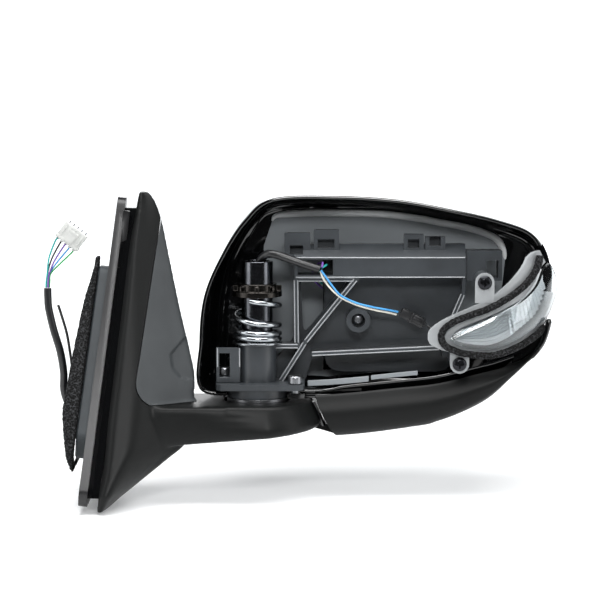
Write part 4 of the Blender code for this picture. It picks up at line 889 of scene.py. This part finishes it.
def headLoop(y, inset=0.0):
    # a parabola through the three outlines gives the shell its crown
    a, b, c = headLook["rim"], headLook["mid"], headLook["bezel"]
    ka = (y - b) * (y - c) / ((a - b) * (a - c))
    kb = (y - a) * (y - c) / ((b - a) * (b - c))
    kc = (y - a) * (y - b) / ((c - a) * (c - b))
    loop = [p * ka + q * kb + r * kc for p, q, r in zip(rimLoop, midLoop, bezelLoop)]
    return inward(loop, inset) if inset else loop


def atY(loop, y):
    return [(p[0], y, p[1]) for p in loop]


def squareLoop(centre, halfX, halfZ, like):
    loop = []
    for point in like:
        way = Vector(point) - Vector(centre)
        power = ((abs(way[0]) / halfX) ** 6 + (abs(way[1]) / halfZ) ** 6) ** (1 / 6)
        loop.append(Vector(centre) + way / power)
    return loop


glassCentre = (190.0, 25.0)


def makeHousing(look):
    rim, wall, deep = look["rim"], look["wall"], look["bulkhead"]
    rings = [atY(headLoop(rim, 1.0), rim), atY(headLoop(rim + 0.3, 0.3), rim + 0.3),
             atY(headLoop(rim + 1.0, 0.0), rim + 1.0)]
    for k in range(1, 15):
        y = rim + 1.0 + (look["bezel"] - 1.0 - rim - 1.0) * k / 14
        rings.append(atY(headLoop(y), y))
    end = look["bezel"]
    rings += [atY(headLoop(end, 0.3), end - 0.3), atY(headLoop(end, 1.2), end),
              atY(headLoop(end, wall - 0.3), end - 0.2)]
    for k in range(1, 7):
        y = end - (end - deep - wall) * k / 7
        rings.append(atY(headLoop(y, wall), y))
    back = headLoop(deep + wall, wall)
    rings += [atY(back, deep + wall), atY(inward(back, 0.8), deep + wall)]
    front = headLoop(deep, wall)
    hole = squareLoop(glassCentre, 48, 46.5, front)
    rings += [atY([p.lerp(q, 0.03) for p, q in zip(hole, back)], deep + wall), atY(hole, deep + wall - 0.5),
              atY(hole, deep + 0.5), atY([p.lerp(q, 0.03) for p, q in zip(hole, front)], deep)]
    # the corner between bulkhead and wall is filled by a large radius
    r = look["fillet"]
    for k in range(9):
        angle = math.pi / 2 * k / 8
        y = deep - r + r * math.cos(angle)
        rings.append(atY(headLoop(min(y, look["mid"] + 4), wall + r * (1 - math.sin(angle))), y))
    for k in range(1, 8):
        y = (deep - r) + (rim + 1.0 - deep + r) * k / 8
        rings.append(atY(headLoop(y, wall), y))
    rings += [atY(headLoop(rim + 0.8, wall), rim + 0.8), atY(headLoop(rim + 0.2, wall - 0.4), rim + 0.2),
              atY(headLoop(rim, wall - 1.0), rim)]
    shell = loft("head_shell", rings, None, True)
    p, f = look["pivot"], look["floor"]
    boolean(shell, drum("pivot_way", (p, 0, f - 10), (p, 0, f + 6), 20.9, sides=72))
    notch = block("lamp_notch", (276, rim - 8, 7.5), (320, 19.0, 69))
    boolean(shell, notch)
    for x, y in ((81.2, 12.0), (127.9, -14.0)):
        boolean(shell, drum("bolt_way", (x, y, f - 8), (x, y, f + 8), 2.9, sides=24))
    shell.data.materials.clear()
    shell.data.materials.append(glossAbs)
    shade(shell, 40)
    return stands(shell, "rear_housing")


def sweepOval(name, path, wide, deep, finish, body):
    # an oval bead along a line on the bulkhead
    line = evenLine([Vector(p) for p in path], 90)
    rings = []
    for k, point in enumerate(line):
        along = (line[min(89, k + 1)] - line[max(0, k - 1)]).normalized()
        up = Vector((0, 1, 0)).cross(along).normalized()
        end = min(k, 89 - k)
        size = min(1.0, 0.25 + 0.75 * math.sqrt(end / 6)) if end < 6 else 1.0
        rings.append([tuple(point + up * wide * size * math.cos(a) + Vector((0, 1, 0)) * deep * size
                            * math.sin(a)) for a in [2 * math.pi * j / 20 for j in range(20)]])
    return rides(loft(name, rings, finish, False, 60), body)


shell = makeHousing(headLook)
beadPath = [(112.5, 29.6, 82.5), (116, 29.6, 86.2), (133.3, 29.6, 87.5), (155, 29.6, 87.8),
            (185.7, 29.6, 87.0), (210.9, 29.6, 83.9), (221.3, 29.6, 81.9), (244.9, 29.6, 77.2),
            (260.7, 29.6, 71.2), (266.2, 29.6, 63.8), (267.7, 29.6, 56.8)]
# the bead's pale colour is a painted highlight
sweepOval("bulkhead_bead", beadPath, 2.4, 2.6, paleBeadHighlight, "head")


def makeLiner():
    # the etched field of the bulkhead inside the bead, open where the drive passes; its mid-grey is painted
    # sheen
    edge = [(p[0], p[2]) for p in evenLine([Vector(p) for p in beadPath], 60)]
    edge += [(266, 40), (262, 10), (240, -8), (200, -18), (150, -22), (116, -20), (108, 0), (106, 40),
             (107, 66)]
    liner = prism("bulkhead_liner", edge, 29.3, 30.3)
    boolean(liner, block("drive_way", (146.6, 20, -17.4), (233.4, 40, 67.4)))
    liner.data.materials.clear()
    liner.data.materials.append(linerPaintedSheen)
    shade(liner, 30)
    return rides(liner, "head")


makeLiner()


def makeGapShadeSheets(look):
    # dark skirts that close the slits between the head and the foot: black sheets put where there is only
    # shade, standing in for it
    p, f = look["pivot"], look["floor"]
    plan = [(u[0], u[1]) for u in rounded([(80, -8), (138, -8), (138, 26), (80, 26)], 10)]
    shroud = loft("pivot_shroud", [[(x, y, f - 3.4) for x, y in plan], [(x, y, f - 0.6) for x, y in plan]])
    boolean(shroud, drum("shroud_way", (p, 0, f - 9), (p, 0, f + 4), 21.6, sides=96))
    shroud.data.materials.clear()
    shroud.data.materials.append(glossAbs)
    shade(shroud, 40)
    rides(shroud, "head")
    rings = []
    for k in range(41):
        angle = math.radians(-14 + 72 * k / 40)
        ring = []
        for radius, z in ((36.9, -33.4), (38.4, -33.4), (45.0, -49.0), (43.6, -49.0)):
            ring.append((p + radius * math.cos(angle), radius * math.sin(angle), z))
        rings.append(ring)
    rides(loft("gap_liner", rings, glossAbs, False, 40), "head")
    rides(block("sill_filler", (134, -6.2, f - 3.4), (172, 12, f - 0.6), glossAbs, 0.4), "head")
    corner = [(270, -8), (284, -3.2), (290.5, 5.5), (293.2, 12), (295.2, 20.5), (292, 15.5), (284, 8.6),
              (272, 2.5)]
    filler = prism("lamp_corner_filler", corner, -6, -2)
    filler.data.materials.append(glossAbs)
    rides(filler, "head")
    # the pale rails along the sill carry the same painted sheen
    for k, (start, end, lift, high) in enumerate(((136, 176, 5.8, 3.6), (177.5, 208, 6.8, 2.8))):
        rings = []
        for n in range(13):
            x = start + (end - start) * n / 12
            z = lowerZ(x, 0.0) + lift
            rings.append([(x, -6.6, z), (x, -6.6, z + high), (x, -4.2, z + high), (x, -4.2, z)])
        rail = softened(loft("sill_rail_" + "ab"[k], rings, linerPaintedSheen), 0.3, 2, 50)
        rides(rail, "head")
    tail = [(281.0, -9.0, -4.5), (285.5, -8.5, 0.6), (289.2, -8.0, 6.0), (291.8, -7.0, 13.0),
            (294.0, -5.5, 21.0)]
    sweepOval("lower_cover_tail", tail, 2.0, 3.0, glossAbs, "head")
    base = baseLook
    rings = []
    for k in range(41):
        z = -88 + 180 * k / 40
        near = z * math.tan(base["tilt"]) + 5.0
        first, last = sailRing(z, 5.0)[0], sailRing(z, 5.0)[-1]
        rings.append([(near, first[1] + 1.5, z), (near + 8.0, first[1], z), (near + 8.0, last[1], z),
                      (near, last[1], z)])
    rides(loft("gap_skirt", rings, glossAbs, False, 40), bodyOf("base_casting"))


makeGapShadeSheets(headLook)


def makeLowerCover(look):
    rows = [(0.0, -9.0), (0.02, -9.6), (0.06, -10.4), (0.2, -12.3), (0.40, -14.0), (0.60, -14.1),
            (0.80, -13.0), (0.92, -9.6), (1.0, -4.0), (1.01, 6.0), (0.99, 16.0), (0.96, 26.0), (0.93, 36.0),
            (0.88, 50.0)]
    fine = smoothLine([Vector(r) for r in rows], 4)
    stations = 90
    rings = []
    wall = look["coverWall"]
    for s in range(stations + 1):
        share = s / stations
        outer = []
        for level, y in fine:
            z = lowerZ(150, level)
            radius = baseLook["footRadius"] + 4.6 + 0.47 * (baseLook["footTop"] + 1.7 - z)
            left = look["pivot"] + math.sqrt(max(radius ** 2 - y ** 2, 16.0))
            x = left + (287 - left) * share ** 0.9
            outer.append(Vector((x, y, lowerZ(x, level))))
        inner = []
        for i, point in enumerate(outer):
            a, b = outer[max(0, i - 1)], outer[min(len(outer) - 1, i + 1)]
            along = Vector((b[1] - a[1], b[2] - a[2])).normalized()
            inner.append(Vector((point[0], point[1] - along[1] * wall, point[2] + along[0] * wall)))
        rings.append([tuple(p) for p in outer + inner[::-1]])
    cover = loft("lower_cover_skin", rings, satinAbs, False, 40)
    softened(cover, 0.35, 2, 50)
    return stands(cover, "lower_cover")


makeLowerCover(headLook)
print("head shell made")

for name in ("cap_bracket", "cap_socket"):
    refined(name, fibreNylon, 0.4, 2, 40)
for name, finish, width in (("frame_bolt_inner", plainSteel, 0.3), ("frame_bolt_outer", plainSteel, 0.3),
                            ("lamp_board", solderMask, 0.15),
                            ("lamp_housing", lampPale, 0.3), ("actuator_case", fibreNylon, 0.4),
                            ("actuator_cover", fibreNylon, 0.4), ("gimbal_ring", naturalNylon, 0.2),
                            ("plunger_tilt", naturalNylon, 0.2), ("plunger_pan", naturalNylon, 0.2),
                            ("drive_gear_tilt", naturalNylon, 0.12), ("drive_gear_pan", naturalNylon, 0.12),
                            ("motor_tilt", plainSteel, 0.3), ("motor_pan", plainSteel, 0.3),
                            ("glass_holder", glossAbs, 0.25), ("heater_pad", heaterFilm, 0.0),
                            ("mirror_glass", mirrorGlass, 0.15)):
    refined(name, finish, width)
print("frame and glass finished")


frameLook = {"edge": 0.4, "clips": [(121.8, 60.5, 136.0), (140.0, 64.5, 156.5), (199.0, 64.5, 212.0),
                                     (213.0, 66.0, 226.0)], 
             "ribs": [((128.4, 46), (128.8, 5), 1.1, -2.8), ((130, 46.6), (166, 46.6), 1.1, -2.8),
                      ((167.2, 46.4), (134.9, 6.0), 1.1, -2.8), ((134.0, 4.6), (118.6, -20), 1.1, -2.8),
                      ((139, -2.5), (222.0, 1.5), 1.1, -2.8), ((112.5, 2.6), (129.5, 2.6), 1.1, -2.8),
                      ((237.4, 36.6), (223.3, 3.2), 1.1, -2.8), ((128.2, 54.5), (238.6, 54.5), 6.4, -3.85),
                      ((84.4, -10), (84.4, 2.4), 7.2, -10.9)]}


def makeFrame(look):
    # the moulded bracket: its clips are sockets that open to the front
    frame = refined("head_frame", fibreNylon, 0.0, title="head_bracket")
    for left, low, right in look["clips"]:
        boolean(frame, block("mouth", (left + 2.6, -2, low + 2.2), (right - 3.0, 6.9, low + 8.0)))
        boolean(frame, block("sleeve", (left + 1.2, 3.2, low + 9.3), (right - 1.2, 6.9, low + 30)))
    frame.data.materials.clear()
    frame.data.materials.append(fibreNylon)
    shade(frame, 32)
    # painted highlights: pale rods along the front edges of the ribs and of the beam
    rods = []
    for a, b, half, y in look["ribs"]:
        way = Vector((b[0] - a[0], b[1] - a[1])).normalized()
        for side in (-half, half):
            rods.append(drum("rib_radius", (a[0] - way[1] * side, y, a[1] + way[0] * side),
                             (b[0] - way[1] * side, y, b[1] + way[0] * side), 0.42, sides=10))
    edges = joined("bracket_edge_radii", rods, nylonEdgeHighlight)
    rides(edges, "head")
    return softened(frame, look["edge"], 2, 50)


makeFrame(frameLook)


def starTool(centre, outer, inner, near, far):
    ring = []
    for k in range(24):
        angle = 2 * math.pi * k / 24
        radius = (outer + inner) / 2 + (outer - inner) / 2 * math.cos(6 * angle)
        ring.append((centre[0] + radius * math.cos(angle), centre[1] + radius * math.sin(angle)))
    return prism("star", ring, near, far)


def makeScrew(node, centre, seat, head, shank, long, finish, recess):
    # a pan-head screw that points to the rear, with a cross or a six-lobe recess
    x, z = centre
    high = head * 0.56
    profile = [(0, high), (head * 0.45, high * 0.97), (head * 0.78, high * 0.78), (head * 0.97, high * 0.42),
               (head, 0.25), (head, 0), (shank, 0), (shank, -long), (0, -long)]
    screw = turned(node + "_turned", profile, (x, seat, z), None, 48, "-Y", 30)
    top = seat - high
    if recess == "cross":
        arm = head * 0.58
        boolean(screw, block("slot_a", (x - arm, top - 2, z - 0.55), (x + arm, top + 1.5, z + 0.55)))
        boolean(screw, block("slot_b", (x - 0.55, top - 2, z - arm), (x + 0.55, top + 1.5, z + arm)))
    else:
        boolean(screw, starTool(centre, head * 0.52, head * 0.38, top - 2, top + 1.6))
    screw.data.materials.clear()
    screw.data.materials.append(finish)
    shade(screw, 30)
    softened(screw, 0.08, 2, 40)
    return stands(screw, node)


# the turn lamp sits at the outboard end

lampLook = {"tip": -33.0, "sweep": 47.0, "lens": 2.0, "flangeSet": 3.0}
lensLow = [(227.5, 10.4), (234, 6.8), (246.6, 4.6), (257, 5.0), (269, 9.2), (284.2, 17.0), (294, 23.4),
           (301, 36.5)]
lensHigh = [(227.7, 12.4), (237, 18.6), (248.2, 22.8), (262, 28.6), (275, 34.8), (285, 43.5), (290, 53.5),
            (294.5, 57)]
sealPath = [(287.4, 63), (284.6, 54.4), (278.2, 46.6), (268, 39), (254.4, 31.6), (242.6, 27.2), (229.2, 21.8),
            (222.2, 15.4), (223, 8.2), (229.6, 3.8), (239.6, 1.2), (255, 0.4), (270.5, 4.6), (284.4, 11.0),
            (291.5, 16.0)]


def lampY(x):
    share = max(0.0, (x - 225) / 76)
    return lampLook["tip"] + lampLook["sweep"] * share ** 4


def lampPoint(x, z, depth=0.0):
    slope = (lampY(x + 0.1) - lampY(x - 0.1)) / 0.2
    length = math.hypot(slope, 1.0)
    return (x - slope / length * depth, lampY(x) + depth / length, z)


def lensStrip(name, finish, front, thick, stations, across, bulge, inset=0.0, span=(0.0, 1.0), flutes=None):
    lows = evenLine([Vector(p) for p in lensLow], 161)
    highs = evenLine([Vector(p) for p in lensHigh], 161)
    rings = []
    for s in range(stations + 1):
        place = (span[0] + (span[1] - span[0]) * s / stations) * 160
        i = min(int(place), 159)
        low = lows[i].lerp(lows[i + 1], place - i)
        high = highs[i].lerp(highs[i + 1], place - i)
        way = (high - low).normalized() * min(inset, (high - low).length * 0.3)
        low, high = low + way, high - way
        ring = []
        for side in (0, 1):
            order = range(across + 1) if side == 0 else range(across, -1, -1)
            for k in order:
                t = k / across
                point = low.lerp(high, t)
                swell = bulge * math.sin(math.pi * t) ** 0.8
                depth = front - swell + (thick if side else 0.0)
                if flutes and not side:
                    # upright flutes outboard, terraces that follow the lower edge inboard
                    fade = max(0.0, min(1.0, (s / stations - flutes[0]) * 14))
                    height = 1 if t < 0.62 else 0.15
                    depth += flutes[2] * abs(math.sin(math.pi * s / flutes[1])) * fade * height
                    depth += flutes[2] * ((t * 7) % 1.0) * (1 - fade) * 0.8
                ring.append(lampPoint(point[0], point[1], depth))
        rings.append(ring)
    return loft(name, rings, finish, False, 50)


def makeLamp(look):
    lens = lensStrip("lamp_lens_moulding", clearLens, 0.0, 2.0, 90, 14, 2.0)
    stands(lens, "lamp_lens")
    reflector = lensStrip("lamp_reflector_plate", metallised, 7.0, 1.2, 240, 36, 0.0, 2.2, (0.05, 0.995),
                          (0.5, 10, 1.5))
    stands(reflector, "lamp_reflector")
    for node, x, z in (("lamp_screw_upper", 249.6, 47.2), ("lamp_screw_lower", 233.7, -5.5)):
        makeScrew(node, (x, z), lampY(x) + look["flangeSet"] - 0.35, 4.6, 2.0, 12.0, blackSteel, "cross")
    # rounded nose that joins the upper and the lower flange
    rings = []
    for k in range(25):
        t = k / 24
        x = 213.2 + 17.0 * t
        low = blendValue([(213.2, 10.2), (214.5, 7.6), (217.5, 5.6), (222.0, 3.6), (230.2, 1.4)], x)
        high = blendValue([(213.2, 14.6), (214.5, 17.2), (217.5, 19.8), (222.0, 22.8), (230.2, 26.6)], x)
        rings.append([lampPoint(x, low, look["flangeSet"] - 0.1), lampPoint(x, high, look["flangeSet"] - 0.1),
                      lampPoint(x, high, look["flangeSet"] + 1.9), lampPoint(x, low, look["flangeSet"] + 1.9)])
    nose = loft("lamp_flange_nose", rings, lampPale)
    softened(nose, 0.5, 3, 50)
    rides(nose, "head")
    points = evenLine([Vector(p) for p in sealPath], 160)
    rings = []
    for k, point in enumerate(points):
        a, b = points[max(0, k - 1)], points[min(len(points) - 1, k + 1)]
        along = (b - a).normalized()
        across = Vector((-along[1], along[0]))
        ring = []
        for j in range(14):
            angle = 2 * math.pi * j / 14
            off = across * 2.3 * math.cos(angle)
            ring.append(lampPoint(point[0] + off[0], point[1] + off[1], 0.65 - 2.0 * math.sin(angle)))
        rings.append(ring)
    seal = loft("lamp_foam_cord", rings, None)
    step = seal.modifiers.new("Even mesh", "REMESH")
    step.mode = "VOXEL"
    step.voxel_size = 0.6 * mm
    keepMesh(seal)
    roughen(seal, 1.3, 0.35)
    seal.data.materials.clear()
    seal.data.materials.append(blackFoam)
    shade(seal, 180)
    stands(seal, "lamp_seal")


makeLamp(lampLook)
makeScrew("boss_screw", (169.2, 19.3), 5.65, 3.9, 1.9, 9.0, plainSteel, "star")
print("lamp made")


# the studio is a pale sweep with soft lights

studioLook = {"floor": -98.6, "paper": "#dfe1e2", "glow": 0.22, "wall": 0.80, "air": 0.04,
              "seen": 0.90}


def makeStudio(look):
    paper = surface("Studio paper", look["paper"], "#f7f7f7", 400, 0.75, 0.04, 6, 0.004, specular=0.2)
    # the paper glows: painted light, faint on the floor and stronger up the wall
    glow = paper.node_tree.nodes["Principled BSDF"]
    glow.inputs["Emission Color"].default_value = linear("#f4f6f8")
    place = addNode(paper, "ShaderNodeTexCoord").outputs["Object"]
    depth = addNode(paper, "ShaderNodeSeparateXYZ", links={"Vector": place}).outputs["Y"]
    rise = addNode(paper, "ShaderNodeMapRange", {"From Min": 0.15, "From Max": 1.6, "To Min": look["glow"],
                                                 "To Max": look["wall"]}, {"Value": depth})
    paper.node_tree.links.new(rise.outputs["Result"], glow.inputs["Emission Strength"])
    floor = look["floor"]
    profile = [(-420, floor), (0, floor), (1900, floor)]
    for k in range(1, 13):
        angle = math.pi / 2 * k / 12
        profile.append((1900 + 500 * math.sin(angle), floor + 500 * (1 - math.cos(angle))))
    profile.append((2400, 2600))
    work = bmesh.new()
    rows = [[work.verts.new((x * mm, y * mm, z * mm)) for y, z in profile] for x in (-2600, 2900)]
    for i in range(len(profile) - 1):
        work.faces.new((rows[0][i], rows[1][i], rows[1][i + 1], rows[0][i + 1]))
    sweep = fromWork("studio_sweep", work, paper, 80)
    world = bpy.data.worlds.new("Studio")
    bpy.context.scene.world = world
    world.use_nodes = True
    air = world.node_tree.nodes["Background"]
    air.inputs["Color"].default_value = linear("#eef1f4")
    air.inputs["Strength"].default_value = look["air"]
    # the room is dark for the reflections and pale where it is looked at directly
    shown = world.node_tree.nodes.new("ShaderNodeBackground")
    shown.inputs["Color"].default_value = linear("#f4f6f8")
    shown.inputs["Strength"].default_value = look["seen"]
    ray = world.node_tree.nodes.new("ShaderNodeLightPath")
    both = world.node_tree.nodes.new("ShaderNodeMixShader")
    link = world.node_tree.links.new
    link(ray.outputs["Is Camera Ray"], both.inputs[0])
    link(air.outputs[0], both.inputs[1])
    link(shown.outputs[0], both.inputs[2])
    link(both.outputs[0], world.node_tree.nodes["World Output"].inputs["Surface"])
    lights = [("Top softbox", (120, -240, 900), (120, 0, 30), (1100, 500), 15),
              ("Left softbox", (-900, -500, 350), (100, 0, 30), (500, 900), 4),
              ("Right softbox", (1150, -450, 350), (150, 0, 30), (500, 900), 4),
              ("Front softbox", (200, -1700, 900), (130, 0, 40), (700, 300), 17),
              ("Rear softbox", (100, 1700, 800), (130, 0, 30), (900, 500), 10)]
    for name, place, target, size, power in lights:
        lamp = bpy.data.lights.new(name, "AREA")
        lamp.shape = "RECTANGLE"
        lamp.size, lamp.size_y = size[0] * mm, size[1] * mm
        lamp.energy = power
        holder = bpy.data.objects.new(name, lamp)
        bpy.context.scene.collection.objects.link(holder)
        holder.location = Vector(place) * mm
        holder.rotation_euler = (Vector(target) - Vector(place)).to_track_quat("-Z", "Y").to_euler()


makeStudio(studioLook)
bpy.context.scene.view_settings.view_transform = "Standard"
